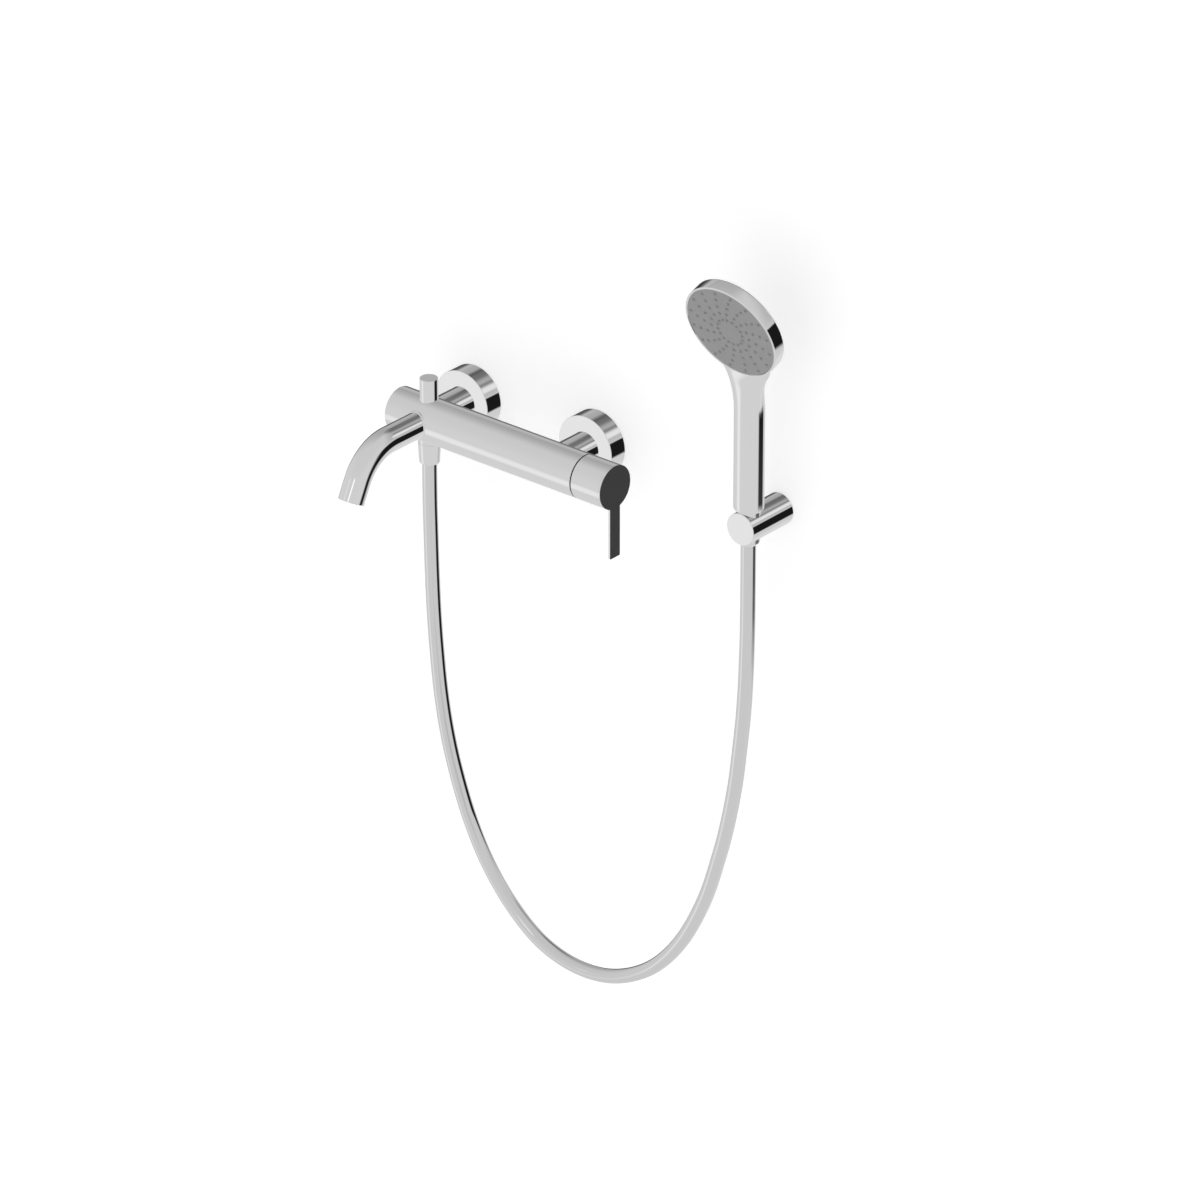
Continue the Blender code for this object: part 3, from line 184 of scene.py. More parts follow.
def tube(name, path, radius, sides):
    """A round tube: each ring's centre is a point of the path, and its plane is square to the
    path. The ends are closed with a point."""
    along = np.gradient(path, axis=0)
    along /= np.linalg.norm(along, axis=1, keepdims=True)
    across = np.cross(along, [0.0, 1.0, 0.0])
    across /= np.linalg.norm(across, axis=1, keepdims=True)
    outward = np.cross(across, along)
    turn = np.linspace(0, 2 * math.pi, sides, endpoint=False)[None, :, None]
    spoke = np.cos(turn) * across[:, None] + np.sin(turn) * outward[:, None]
    rings = path[:, None] + radius * spoke
    first, last = (np.broadcast_to(path[i], (1, sides, 3)) for i in (0, -1))
    return surface(name, np.concatenate([first, rings, last]), uv=True)


hose_start = np.array([*middle("hose_nut")[:2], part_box("hose_ferrule")[0].z - HOSE_TO_FERRULE])
hose_finish = np.array(
    [*middle("shower_hose_nut")[:2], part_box("shower_hose_ferrule")[0].z - HOSE_TO_FERRULE]
)
route = np.array(HOSE_ROUTE)
share = np.clip((route[:, 0] - hose_start[0]) / (hose_finish[0] - hose_start[0]), 0, 1)
depth = hose_start[1] + (hose_finish[1] - hose_start[1]) * share
knots = np.vstack([hose_start, np.column_stack([route[:, 0], depth, route[:, 1]]), hose_finish])
hose_path = smooth_path(knots, 14)
hose = smooth(tube("shower_hose", hose_path, HOSE_RADIUS, 40), 60)

BRAID_TURNS = 520
BRAID_STARTS = 8


def node(tree, kind, inputs=(), **settings):
    """Adds a shader node, sets it, and fills its inputs with values or links."""
    made = tree.nodes.new(kind)
    for name, value in settings.items():
        setattr(made, name, value)
    for place, value in dict(inputs).items():
        if isinstance(value, bpy.types.NodeSocket):
            tree.links.new(value, made.inputs[place])
        else:
            made.inputs[place].default_value = value
    return made


def new_material(name, colour, metallic=0.0, roughness=0.4):
    """A material with its tree, its Principled shader and its Object coordinates."""
    material = bpy.data.materials.new(name)
    material.use_nodes = True
    tree = material.node_tree
    shader = tree.nodes["Principled BSDF"]
    shader.inputs["Base Color"].default_value = (*colour, 1.0)
    shader.inputs["Metallic"].default_value = metallic
    shader.inputs["Roughness"].default_value = roughness
    place = node(tree, "ShaderNodeTexCoord").outputs["Object"]
    return material, tree, shader, place


def noise(tree, place, scale, detail=2.0):
    found = node(tree, "ShaderNodeTexNoise", {"Vector": place, "Scale": scale, "Detail": detail})
    return found.outputs["Fac"]


def between(tree, value, low, high, start=0.0, end=1.0):
    """The value, carried from start..end to low..high."""
    inputs = {"Value": value, "From Min": start, "From Max": end, "To Min": low, "To Max": high}
    return node(tree, "ShaderNodeMapRange", inputs).outputs["Result"]


def maths(tree, operation, first, second=0.0):
    return node(tree, "ShaderNodeMath", {0: first, 1: second}, operation=operation).outputs[0]


def bump(tree, shader, height, strength, distance):
    inputs = {"Height": height, "Strength": strength, "Distance": distance}
    tree.links.new(node(tree, "ShaderNodeBump", inputs).outputs["Normal"], shader.inputs["Normal"])


def hose_skin():
    """Silver foil under clear plastic. The braid shows through as crossing helices: two waves
    whose phase grows with the turn round the hose and, one up, one down, with its length."""
    material, tree, shader, place = new_material("silver_hose_skin", (0.87, 0.87, 0.87), 1.0, 0.05)
    uv = node(tree, "ShaderNodeUVMap", uv_map="skin").outputs["UV"]
    split = node(tree, "ShaderNodeSeparateXYZ", {0: uv})
    around = maths(tree, "MULTIPLY", split.outputs[0], 2 * math.pi * BRAID_STARTS)
    along = maths(tree, "MULTIPLY", split.outputs[1], 2 * math.pi * BRAID_TURNS)
    right = maths(tree, "SINE", maths(tree, "ADD", around, along))
    left = maths(tree, "SINE", maths(tree, "SUBTRACT", along, around))
    braid = maths(tree, "MAXIMUM", right, left)
    wear = noise(tree, place, 55.0)
    rough = maths(tree, "ADD", between(tree, wear, 0.025, 0.05), between(tree, braid, 0.0, 0.02, -1.0))
    tree.links.new(rough, shader.inputs["Roughness"])
    bump(tree, shader, braid, 0.04, 0.00002)
    shader.inputs["Coat Weight"].default_value = 0.3
    shader.inputs["Coat Roughness"].default_value = 0.03
    return material


hose.data.materials.append(hose_skin())
hose.visible_glossy = False
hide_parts("hose")
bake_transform(hose)

# --- Studio ---
# A white wall, a pale floor well below the set, and soft light from all round. The wall is
# seen from the room only, and polished metal sees the studio instead of the wall.
WALL_FRONT = 0.0005
FLOOR_HEIGHT = -1.25
EVEN_LIGHT = 0.655
DARKEST = 0.002


def staged_sheet(name, corners, glow, whiteness):
    """A flat staged sheet, clear from behind, that partly shines so that it stays pale."""
    mesh = bpy.data.meshes.new(name)
    mesh.from_pydata(corners, [], [(0, 1, 2, 3)])
    sheet = bpy.data.objects.new(name, mesh)
    bpy.context.scene.collection.objects.link(sheet)
    material = bpy.data.materials.new(name)
    material.use_nodes = True
    tree = material.node_tree
    tree.nodes.clear()
    paint = node(tree, "ShaderNodeBsdfDiffuse", {"Color": (whiteness, whiteness, whiteness, 1.0)})
    shine = node(tree, "ShaderNodeEmission", {"Color": (1.0, 1.0, 1.0, 1.0), "Strength": glow})
    both = node(tree, "ShaderNodeAddShader", {0: paint.outputs[0], 1: shine.outputs[0]})
    clear = node(tree, "ShaderNodeBsdfTransparent")
    side = node(tree, "ShaderNodeNewGeometry").outputs["Backfacing"]
    mixed = node(tree, "ShaderNodeMixShader", {0: side, 1: both.outputs[0], 2: clear.outputs[0]})
    node(tree, "ShaderNodeOutputMaterial", {"Surface": mixed.outputs[0]})
    mesh.materials.append(material)
    sheet.visible_glossy = False
    return sheet


left_foot, right_foot = (-4, WALL_FRONT, FLOOR_HEIGHT), (4, WALL_FRONT, FLOOR_HEIGHT)
wall_corners = [left_foot, right_foot, (4, WALL_FRONT, 3), (-4, WALL_FRONT, 3)]
floor_corners = [(-4, -5, FLOOR_HEIGHT), (4, -5, FLOOR_HEIGHT), right_foot, left_foot]
staged_sheet("studio_wall", wall_corners, glow=0.445, whiteness=0.86)
staged_sheet("studio_floor", floor_corners, glow=0.30, whiteness=0.80)


def studio_light():
    """Brightness as a function of direction: an even grey room, paler below and in front,
    darker above and behind. Each patch adds its amount where its mask is 1. Then three dark
    screens behind the wall each take away their share of the light."""
    world = bpy.data.worlds.new("studio")
    bpy.context.scene.world = world
    world.use_nodes = True
    tree = world.node_tree
    background = tree.nodes["Background"]
    direction = node(tree, "ShaderNodeTexCoord").outputs["Generated"]
    split = node(tree, "ShaderNodeSeparateXYZ", {0: direction})
    x, y, z = split.outputs
    turn = maths(tree, "ARCTAN2", x, y)

    def edge(value, start, end):
        """0 before start and 1 after end, with a soft step between them."""
        inputs = {"Value": value, "From Min": start, "From Max": end}
        return node(tree, "ShaderNodeMapRange", inputs, interpolation_type="SMOOTHSTEP").outputs[0]

    def both(first, second):
        return maths(tree, "MULTIPLY", first, second)

    def spot(centre, inner, outer):
        """1 within the inner angle of a direction, falling to 0 at the outer angle."""
        length = math.sqrt(sum(v * v for v in centre))
        unit = tuple(v / length for v in centre)
        inputs = {0: direction, 1: unit}
        near = node(tree, "ShaderNodeVectorMath", inputs, operation="DOT_PRODUCT").outputs["Value"]
        return edge(near, math.cos(math.radians(outer)), math.cos(math.radians(inner)))

    def screen(turn_from, turn_to, turn_soft, low, high, low_soft, high_soft):
        """1 inside a range of turns and heights, with a soft edge on each side."""
        sides = both(
            edge(turn, math.radians(turn_from - turn_soft), math.radians(turn_from + turn_soft)),
            edge(turn, math.radians(turn_to + turn_soft), math.radians(turn_to - turn_soft)),
        )
        heights = both(
            edge(z, low - low_soft, low + low_soft),
            edge(z, high + high_soft, high - high_soft),
        )
        return both(sides, heights)

    rear_left = both(edge(x, 0.20, -0.30), edge(y, -0.25, 0.60))
    rear = maths(tree, "MAXIMUM", edge(y, 0.30, 0.65), rear_left)
    height_turn = maths(tree, "ARCTAN2", z, y)
    thin_line = both(edge(height_turn, 0.765, 0.790), edge(height_turn, 0.830, 0.800))
    low_middle = both(edge(turn, math.radians(-8), math.radians(14)), spot((0.3, 0.85, -0.45), 6, 24))
    level = EVEN_LIGHT
    for amount, mask in (
        (-0.050, edge(z, 0.0, 0.85)),
        (-0.215, both(rear, edge(z, -0.15, 0.55))),
        (-0.110, both(thin_line, edge(x, 0.0, -0.4))),
        (0.170, spot((-0.66, -0.60, -0.45), 2, 17)),
        (0.055, both(edge(z, -0.35, -0.60), edge(y, 0.35, 0.60))),
        (-0.230, spot((-0.10, 0.68, 0.73), 4, 20)),
        (-0.090, low_middle),
        (0.360, spot((0.57, 0.68, 0.46), 2, 11)),
        (-0.160, spot((0.44, 0.68, 0.585), 2, 8)),
        (0.450, spot((0.18, -0.93, 0.37), 2, 7)),
        (0.170, spot((-0.48, -0.82, 0.313), 1, 5)),
        (-0.120, spot((0.70, -0.70, -0.13), 6, 20)),
    ):
        level = maths(tree, "ADD", level, both(mask, amount))
    for share, mask in (
        (0.985, screen(17, 68, 7, -0.475, 0.125, 0.045, 0.025)),
        (0.86, spot((-0.75, 0.65, -0.13), 6, 26)),
        (0.9, screen(-60, -50, 2, -0.27, -0.06, 0.02, 0.02)),
    ):
        level = both(level, maths(tree, "SUBTRACT", 1.0, both(mask, share)))
    level = maths(tree, "MAXIMUM", level, DARKEST)
    tree.links.new(level, background.inputs["Strength"])
    background.inputs["Color"].default_value = (1.0, 1.0, 1.0, 1.0)


studio_light()
bpy.context.scene.view_settings.view_transform = "Standard"
bpy.context.scene.view_settings.look = "None"

# --- Mixer body ---
# A brass tube, polished and chromed, 43 mm across. Two stubs behind take the water in, the
# knob comes out on top, the spout in front, and a short stub below holds the hose outlet.
EDGE_ROUND = 0.35 * MM
BODY_WALL = 2.6 * MM
STUB_WALL = 2.7 * MM
KNOB_CLEARANCE = 0.3 * MM
SEAM_OPENING = 0.2 * MM


def rounded(corners, radii, steps=5):
    """The outline through the corners, each rounded by an arc of its radius. Where the arc
    meets the straights, one more point beside it keeps the flats flat when shaded."""
    corners = np.array(corners, float)
    outline = [corners[0]]
    for before, corner, after, radius in zip(corners, corners[1:], corners[2:], radii[1:-1]):
        into = (before - corner) / np.linalg.norm(before - corner)
        out = (after - corner) / np.linalg.norm(after - corner)
        half = 0.5 * math.acos(np.clip(into @ out, -1, 1))
        if radius == 0:
            outline.append(corner)
            continue
        reach = radius / math.tan(half)
        centre = corner + (into + out) / np.linalg.norm(into + out) * radius / math.sin(half)
        first = corner + into * reach - centre
        last = corner + out * reach - centre
        sweep = math.pi - 2 * half
        t = np.linspace(0, 1, steps + 1)[:, None]
        arc = (np.sin((1 - t) * sweep) * first + np.sin(t * sweep) * last) / math.sin(sweep)
        outline.append(corner + into * reach * 1.4)
        outline.extend(centre + arc)
        outline.append(corner + out * reach * 1.4)
    outline.append(corners[-1])
    return np.array(outline)


def square_to(axis):
    """Two unit vectors square to the axis and to each other."""
    side = np.array([1.0, 0.0, 0.0]) if abs(axis[0]) < 0.9 else np.array([0.0, 0.0, 1.0])
    first = side - axis * (side @ axis)
    first /= np.linalg.norm(first)
    return first, np.cross(axis, first)


def turned(name, profile, base, axis, ring=False, steps=144, radius=None, height=None):
    """Point = base + height of the profile along the axis + its radius round the axis. Each
    may be given as a grid instead, one row for each point of the profile and one column a step."""
    axis = np.array(axis, float) / np.linalg.norm(axis)
    first, second = square_to(axis)
    turn = np.linspace(0, 2 * math.pi, steps, endpoint=False)[None, :, None]
    radius = profile[:, :1] if radius is None else radius
    height = profile[:, 1:] if height is None else height
    spoke = np.cos(turn) * first + np.sin(turn) * second
    grid = np.array(base, float) + height[:, :, None] * axis + radius[:, :, None] * spoke
    return surface(name, grid, ring)


def carve(piece, other, operation="DIFFERENCE"):
    """Cuts the other closed surface out of the piece, or joins it on, and removes the other."""
    modifier = piece.modifiers.new(operation.lower(), "BOOLEAN")
    modifier.operation = operation
    modifier.object = other
    bpy.context.view_layer.update()
    result = bpy.data.meshes.new_from_object(
        piece.evaluated_get(bpy.context.evaluated_depsgraph_get())
    )
    piece.modifiers.clear()
    piece.data = result
    bpy.data.objects.remove(other, do_unlink=True)
    return piece


def rod(name, start, end, radius, steps=144):
    """A plain round bar between two points."""
    start = np.array(start, float)
    axis = np.array(end, float) - start
    length = np.linalg.norm(axis)
    profile = np.array([(0, 0), (radius, 0), (radius, length), (0, length)])
    return turned(name, profile, start, axis, steps=steps)


def chrome(name, tone=0.955, roughness=(0.018, 0.045), ripple=0.05, cloud=30.0):
    """Polished chrome plate: the gloss varies slightly in soft clouds, as wiping leaves it,
    and the surface has the faint ripple of a buffed casting."""
    material, tree, shader, place = new_material(name, (tone, tone, tone * 1.004), 1.0, 0.03)
    clouds = noise(tree, place, cloud, 3.0)
    tree.links.new(between(tree, clouds, *roughness, 0.3, 0.7), shader.inputs["Roughness"])
    bump(tree, shader, noise(tree, place, 140.0, 1.0), ripple, 0.00002)
    return material


def finish(piece, body, slot, material, *nodes):
    """Gives a piece its material, its CAD body and the CAD nodes it stands for. The slot is not used.
    """
    piece.data.materials.clear()
    piece.data.materials.append(material)
    piece.visible_glossy = False
    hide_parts(*nodes)
    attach(piece, body)
    return piece


body_low, body_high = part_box("mixer_body")
body_radius = body_high.z
axis_y = body_low.y + body_radius
knob_x, knob_y, _ = middle("diverter_knob")
left_x = middle("left_escutcheon")[0]
right_x = middle("right_escutcheon")[0]
stub_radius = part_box("left_escutcheon")[1].x - left_x - 15.85 * MM
body_end = body_high.x - SEAM_OPENING
body_outline = [
    (body_radius - BODY_WALL, body_low.x),
    (body_radius, body_low.x),
    (body_radius, body_end),
    (body_radius - BODY_WALL, body_end),
    (body_radius - BODY_WALL, body_low.x),
]
body_profile = rounded(body_outline, [0, EDGE_ROUND, 0.15 * MM, 0, 0])[:-1]
mixer = turned("mixer_shell", body_profile, (0, axis_y, 0), (1, 0, 0), ring=True, steps=192)
outlet_radius = 10.6 * MM
ROOT_FILLET = 0.5 * MM
OUTLET_WALL = 1.6 * MM


def filleted_root(radius, fillet, turn, rows=12, sunk=1.5 * MM):
    """Radius and distance of a soft root, where a round branch leaves the round body. The
    body's surface lies at the root of its radius squared less the branch's reach across it
    squared; from there the fillet is a quarter circle that ends at the branch's own radius."""
    surface_at = np.sqrt(body_radius**2 - (radius * np.sin(turn)) ** 2)[None, :]
    t = np.linspace(0, math.pi / 2, rows)[:, None]
    spread = radius + fillet * (1 - np.sin(t)) + 0 * turn
    distance = surface_at + fillet * (1 - np.cos(t))
    sink = surface_at - sunk
    return np.vstack([spread[:1], spread]), np.vstack([sink, distance])


def branch(name, x, axis, radius, wall, end):
    """A short tube out of the body: its root follows the body's round, inside and outside, and
    its end is flat with a rounded edge."""
    turn = np.linspace(0, 2 * math.pi, 144, endpoint=False)
    radii, heights = filleted_root(radius, ROOT_FILLET, turn)
    lip = rounded([(radius, end - 1 * MM), (radius, end), (radius - wall, end)], [0, EDGE_ROUND, 0])
    inside = np.full((1, len(turn)), radius - wall)
    radii = np.vstack([radii, np.repeat(lip[:, :1], len(turn), axis=1), inside])
    heights = np.vstack([heights, np.repeat(lip[:, 1:], len(turn), axis=1), heights[:1]])
    profile = np.column_stack([radii[:, 0], heights[:, 0]])
    return turned(name, profile, (x, axis_y, 0), axis, True, len(turn), radii, heights)


turn = np.linspace(0, 2 * math.pi, 144, endpoint=False)
for x in (left_x, right_x):
    carve(mixer, branch("stub", x, (0, 1, 0), stub_radius, STUB_WALL, body_high.y - axis_y), "UNION")
carve(mixer, branch("outlet", knob_x, (0, 0, -1), outlet_radius, OUTLET_WALL, -body_low.z), "UNION")
knob_low, knob_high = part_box("diverter_knob")
knob_radius = (knob_high.x - knob_low.x) / 2
hole_radius = knob_radius + KNOB_CLEARANCE
carve(mixer, rod("hole", (knob_x, knob_y, 12 * MM), (knob_x, knob_y, 30 * MM), hole_radius, 96))
finish(smooth(mixer), "wall_set", "chrome", chrome("body_chrome"), "mixer_body")

# --- Left end plug ---
# A chromed disc pressed into the body's left end, a hair below its rim.
plug_low, plug_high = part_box("body_end_plug")
plug_radius = (plug_high.z - plug_low.z) / 2
plug_outline = [
    (0.0, plug_low.x),
    (plug_radius, plug_low.x),
    (plug_radius, plug_high.x),
    (0.0, plug_high.x),
]
plug = turned("end_plug", rounded(plug_outline, [0, 0.4 * MM, 0.2 * MM, 0]), (0, axis_y, 0), (1, 0, 0))
finish(smooth(plug), "wall_set", "chrome", chrome("plug_chrome"), "body_end_plug")

# --- Escutcheons ---
# Two chromed brass cups, turned, that slide over the stubs and cover the wall connections. A
# soft ring inside each one's rim seals it to the wall.
CUP_WALL = 1.6 * MM
CUP_ROUND = 0.45 * MM
for side in ("left", "right"):
    low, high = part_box(f"{side}_escutcheon")
    centre = middle(f"{side}_escutcheon")
    cup = (high.x - low.x) / 2
    deep = high.y - low.y
    outline = [
        (cup - CUP_WALL, 0.0),
        (cup, 0.0),
        (cup, deep),
        (stub_radius + 0.15 * MM, deep),
        (stub_radius + 0.15 * MM, deep - CUP_WALL),
        (cup - CUP_WALL, deep - CUP_WALL),
        (cup - CUP_WALL, 0.0),
    ]
    profile = rounded(outline, [0, 0.2 * MM, CUP_ROUND, 0.25 * MM, 0.1 * MM, 0.4 * MM, 0])[:-1]
    piece = turned(f"{side}_wall_cup", profile, (centre[0], 0, 0), (0, -1, 0), ring=True, steps=192)
    finish(smooth(piece), "wall_set", "chrome", chrome(f"{side}_cup_chrome"), f"{side}_escutcheon")


def rubber(name, colour=(0.022, 0.022, 0.023), gloss=(0.45, 0.65)):
    """Moulded black rubber with a fine matt grain."""
    material, tree, shader, place = new_material(name, colour, 0.0, 0.55)
    tree.links.new(between(tree, noise(tree, place, 220.0, 4.0), *gloss), shader.inputs["Roughness"])
    bump(tree, shader, noise(tree, place, 1600.0, 2.0), 0.25, 0.00004)
    return material


def collar(name, node_name, axis, round_by, steps=96, wall=None):
    """A ring with rounded edges that fills the box of a CAD ring: its outside radius is half
    the box's width, and its wall is given."""
    low, high = (np.array(corner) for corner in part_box(node_name))
    axis = np.array(axis, float)
    centre = (low + high) / 2
    length = float(abs((high - low) @ axis))
    across = (high - low)[np.argmin(np.abs(axis))] / 2
    outline = [
        (across - wall, -length / 2),
        (across, -length / 2),
        (across, length / 2),
        (across - wall, length / 2),
        (across - wall, -length / 2),
    ]
    outline = rounded(outline, [0, round_by, round_by, round_by, 0])[:-1]
    return turned(name, outline, centre, axis, ring=True, steps=steps)


for side in ("left", "right"):
    ring = collar(f"{side}_wall_seal", f"{side}_escutcheon_seal", (0, 1, 0), 0.7 * MM, wall=4.5 * MM)
    name = f"{side}_escutcheon_seal"
    finish(smooth(ring), "wall_set", "rubber_seal", rubber(f"{side}_seal_rubber"), name)

# --- Wall unions and their nuts ---
# Brass connectors with a G1/2 thread that screws into the wall, and the hexagon nuts that
# hold the mixer to them. All are turned brass, left plain because the cups hide them.
THREAD_PITCH = 1.814 * MM
THREAD_RADIUS = 10.4 * MM
THREAD_DEPTH = 1.0 * MM
UNION_BORE = 7.5 * MM


def brass(name, tone=(0.78, 0.58, 0.29)):
    """Turned brass: fine tool marks as a stretched noise, and a slightly uneven tarnish."""
    material, tree, shader, place = new_material(name, tone, 1.0, 0.28)
    tarnish = noise(tree, place, 90.0, 4.0)
    ramp = node(tree, "ShaderNodeValToRGB", {"Fac": tarnish})
    ramp.color_ramp.elements[0].position = 0.35
    ramp.color_ramp.elements[0].color = (tone[0] * 0.72, tone[1] * 0.66, tone[2] * 0.60, 1.0)
    ramp.color_ramp.elements[1].position = 0.65
    ramp.color_ramp.elements[1].color = (*tone, 1.0)
    tree.links.new(ramp.outputs["Color"], shader.inputs["Base Color"])
    tree.links.new(between(tree, tarnish, 0.38, 0.20), shader.inputs["Roughness"])
    bump(tree, shader, noise(tree, place, 1200.0, 1.0), 0.15, 0.00003)
    return material


for side, x in (("left", left_x), ("right", right_x)):
    low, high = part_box(f"{side}_wall_union")
    front_radius = (high.x - low.x) / 2
    rows = np.linspace(high.y, 0.6 * MM, 150)
    turn = np.linspace(0, 1, 96, endpoint=False)[None, :]
    wave = np.abs(((rows[:, None] / THREAD_PITCH - turn) % 1.0) * 2 - 1)
    fade_in = np.clip(rows[:, None] / (2 * MM), 0, 1)
    fade_out = np.clip((high.y - rows[:, None]) / (1.2 * MM), 0, 1)
    ridges = THREAD_RADIUS - THREAD_DEPTH * (1 - fade_in * fade_out * wave)
    front = [
        (front_radius, 0.5 * MM),
        (front_radius, low.y),
        (UNION_BORE, low.y),
        (UNION_BORE, high.y),
    ]
    heights = np.concatenate([rows, [h for _, h in front]])
    radius = np.vstack([ridges, [[r] * 96 for r, _ in front]])
    profile = np.column_stack([radius[:, 0], heights])
    piece = turned(f"{side}_wall_connector", profile, (x, 0, 0), (0, 1, 0), True, 96, radius)
    finish(smooth(piece, 25), "wall_set", "brass", brass(f"{side}_union_brass"), f"{side}_wall_union")

NUT_CHAMFER = 1.6 * MM
NUT_HALF_FLATS = 16.0 * MM
NUT_THREAD = 13.5 * MM
NUT_HOLE = 10.9 * MM
NUT_SHOULDER = 2.4 * MM
for side, x in (("left", left_x), ("right", right_x)):
    low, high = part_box(f"{side}_union_nut")
    steps = 144
    turn = np.linspace(0, 2 * math.pi, steps, endpoint=False)
    hexagon = NUT_HALF_FLATS / np.cos((turn + math.pi / 6) % (math.pi / 3) - math.pi / 6)
    corner = NUT_HALF_FLATS / math.cos(math.pi / 6)
    cone = np.linspace(0, 1, 7)
    heights = np.concatenate([low.y + NUT_CHAMFER * cone, high.y - NUT_CHAMFER * cone[::-1]])
    inset = NUT_CHAMFER * np.concatenate([1 - cone, cone]) ** 2
    outside = np.minimum(hexagon[None], corner - 1.2 * inset[:, None])
    shoulder = low.y + NUT_SHOULDER
    inner = [(NUT_THREAD, high.y), (NUT_THREAD, shoulder), (NUT_HOLE, shoulder), (NUT_HOLE, low.y)]
    heights = np.concatenate([heights, [h for _, h in inner]])
    radius = np.vstack([outside, [[r] * steps for r, _ in inner]])
    profile = np.column_stack([radius[:, 0], heights])
    piece = turned(f"{side}_hexagon_nut", profile, (x, 0, 0), (0, 1, 0), True, steps, radius)
    finish(smooth(piece, 25), "wall_set", "brass", brass(f"{side}_nut_brass"), f"{side}_union_nut")

# --- Handle ---
# A chromed cap that turns on the cartridge's spindle, and on its end a flat lever plate, a
# disc with a straight bar. The plate's outer face is finished in dark anthracite.
cap_low, cap_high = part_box("handle_cap")
cap_outline = [
    (body_radius - 2.4 * MM, cap_low.x + SEAM_OPENING),
    (body_radius, cap_low.x + SEAM_OPENING),
    (body_radius, cap_high.x),
    (0.0, cap_high.x),
]
inside = [(0.0, cap_high.x - 3 * MM), (body_radius - 2.4 * MM, cap_high.x - 3 * MM)]
cap_profile = rounded(inside + cap_outline, [0, 0.5 * MM, 0.1 * MM, 0.15 * MM, 0.02 * MM, 0])
cap = turned("turning_cap", cap_profile, (0, axis_y, 0), (1, 0, 0), steps=192)
grub_x, grub_y, grub_z = middle("handle_grub_screw")
carve(cap, rod("hole", (grub_x, grub_y, -15 * MM), (grub_x, grub_y, -25 * MM), 2.7 * MM, 48))
finish(smooth(cap), "handle", "chrome", chrome("cap_chrome"), "handle_cap")


LEVER_HALF_WIDTH = 6.85 * MM
LEVER_CORNER = 0.6 * MM


def lever_outline(inset=0.0):
    """Points of the plate's edge, from the disc's right side round over the top: the disc's
    arc, then the bar's two lower corners, each rounded by a small quarter arc."""
    low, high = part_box("lever")
    half = LEVER_HALF_WIDTH - inset
    disc = body_radius - inset
    reach = -low.z - inset
    meet = math.asin(half / disc)
    turn = np.linspace(-math.pi / 2 + meet, 1.5 * math.pi - meet, 180)
    arc = np.column_stack([disc * np.cos(turn), disc * np.sin(turn)])
    small = LEVER_CORNER
    quarter = np.linspace(0, math.pi / 2, 6)
    sine, cosine = small * np.sin(quarter), small * np.cos(quarter)
    left = np.column_stack([small - half - cosine, small - reach - sine])
    right = np.column_stack([half - small + sine, small - reach - cosine])
    return np.vstack([arc, left, right])


def plate(name, start, end, chamfer):
    """The lever's outline pushed from start to end along the axis, with chamfered edges. Each
    flat side runs from the disc's centre out to the outline."""
    edge, inner = lever_outline(), lever_outline(chamfer)
    centre = np.zeros_like(edge)
    layers = [
        (centre, start),
        (inner * [0.985, 0.995], start),
        (inner, start),
        (edge, start + chamfer),
        (edge, end - chamfer),
        (inner, end),
        (inner * [0.985, 0.995], end),
        (centre, end),
    ]
    edges = [np.column_stack([np.full(len(o), x), axis_y + o[:, 0], o[:, 1]]) for o, x in layers]
    return surface(name, np.array(edges))


lever_low, lever_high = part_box("lever")
face_low, face_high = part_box("lever_face")
lever = plate("lever_plate", cap_high.x - 0.02 * MM, lever_high.x + 0.28 * MM, 0.08 * MM)
finish(smooth(lever, 40), "handle", "chrome", chrome("lever_chrome"), "lever")


def dark_coating():
    """Anthracite coating: satin, with a very fine grain in its gloss and colour."""
    material, tree, shader, place = new_material("anthracite_coating", (0.036, 0.036, 0.038), 0.0, 0.38)
    grain = noise(tree, place, 900.0, 3.0)
    ramp = node(tree, "ShaderNodeValToRGB", {"Fac": grain})
    ramp.color_ramp.elements[0].color = (0.030, 0.030, 0.032, 1.0)
    ramp.color_ramp.elements[1].color = (0.043, 0.043, 0.045, 1.0)
    tree.links.new(ramp.outputs["Color"], shader.inputs["Base Color"])
    tree.links.new(between(tree, grain, 0.32, 0.44), shader.inputs["Roughness"])
    bump(tree, shader, grain, 0.10, 0.00002)
    return material


lever_front = plate("lever_front", face_low.x, face_high.x, 0.12 * MM)
finish(smooth(lever_front, 40), "handle", "dark_lever_face", dark_coating(), "lever_face")

# --- Diverter knob ---
# A chromed rod on top of the body, pulled up to send the water to the hand shower. Below it
# the brass stem goes down through the bushing to the valve.
knob_outline = [
    (0.0, knob_low.z + 10 * MM),
    (2.8 * MM, knob_low.z + 10 * MM),
    (2.8 * MM, knob_low.z),
    (knob_radius, knob_low.z),
    (knob_radius, knob_high.z),
    (0.0, knob_high.z),
]
knob_profile = rounded(knob_outline, [0, 0, 0.1 * MM, 0.3 * MM, 0.45 * MM, 0])
knob = turned("pull_knob", knob_profile, (knob_x, knob_y, 0), (0, 0, 1), steps=128)
finish(smooth(knob), "diverter", "chrome", chrome("knob_chrome"), "diverter_knob")

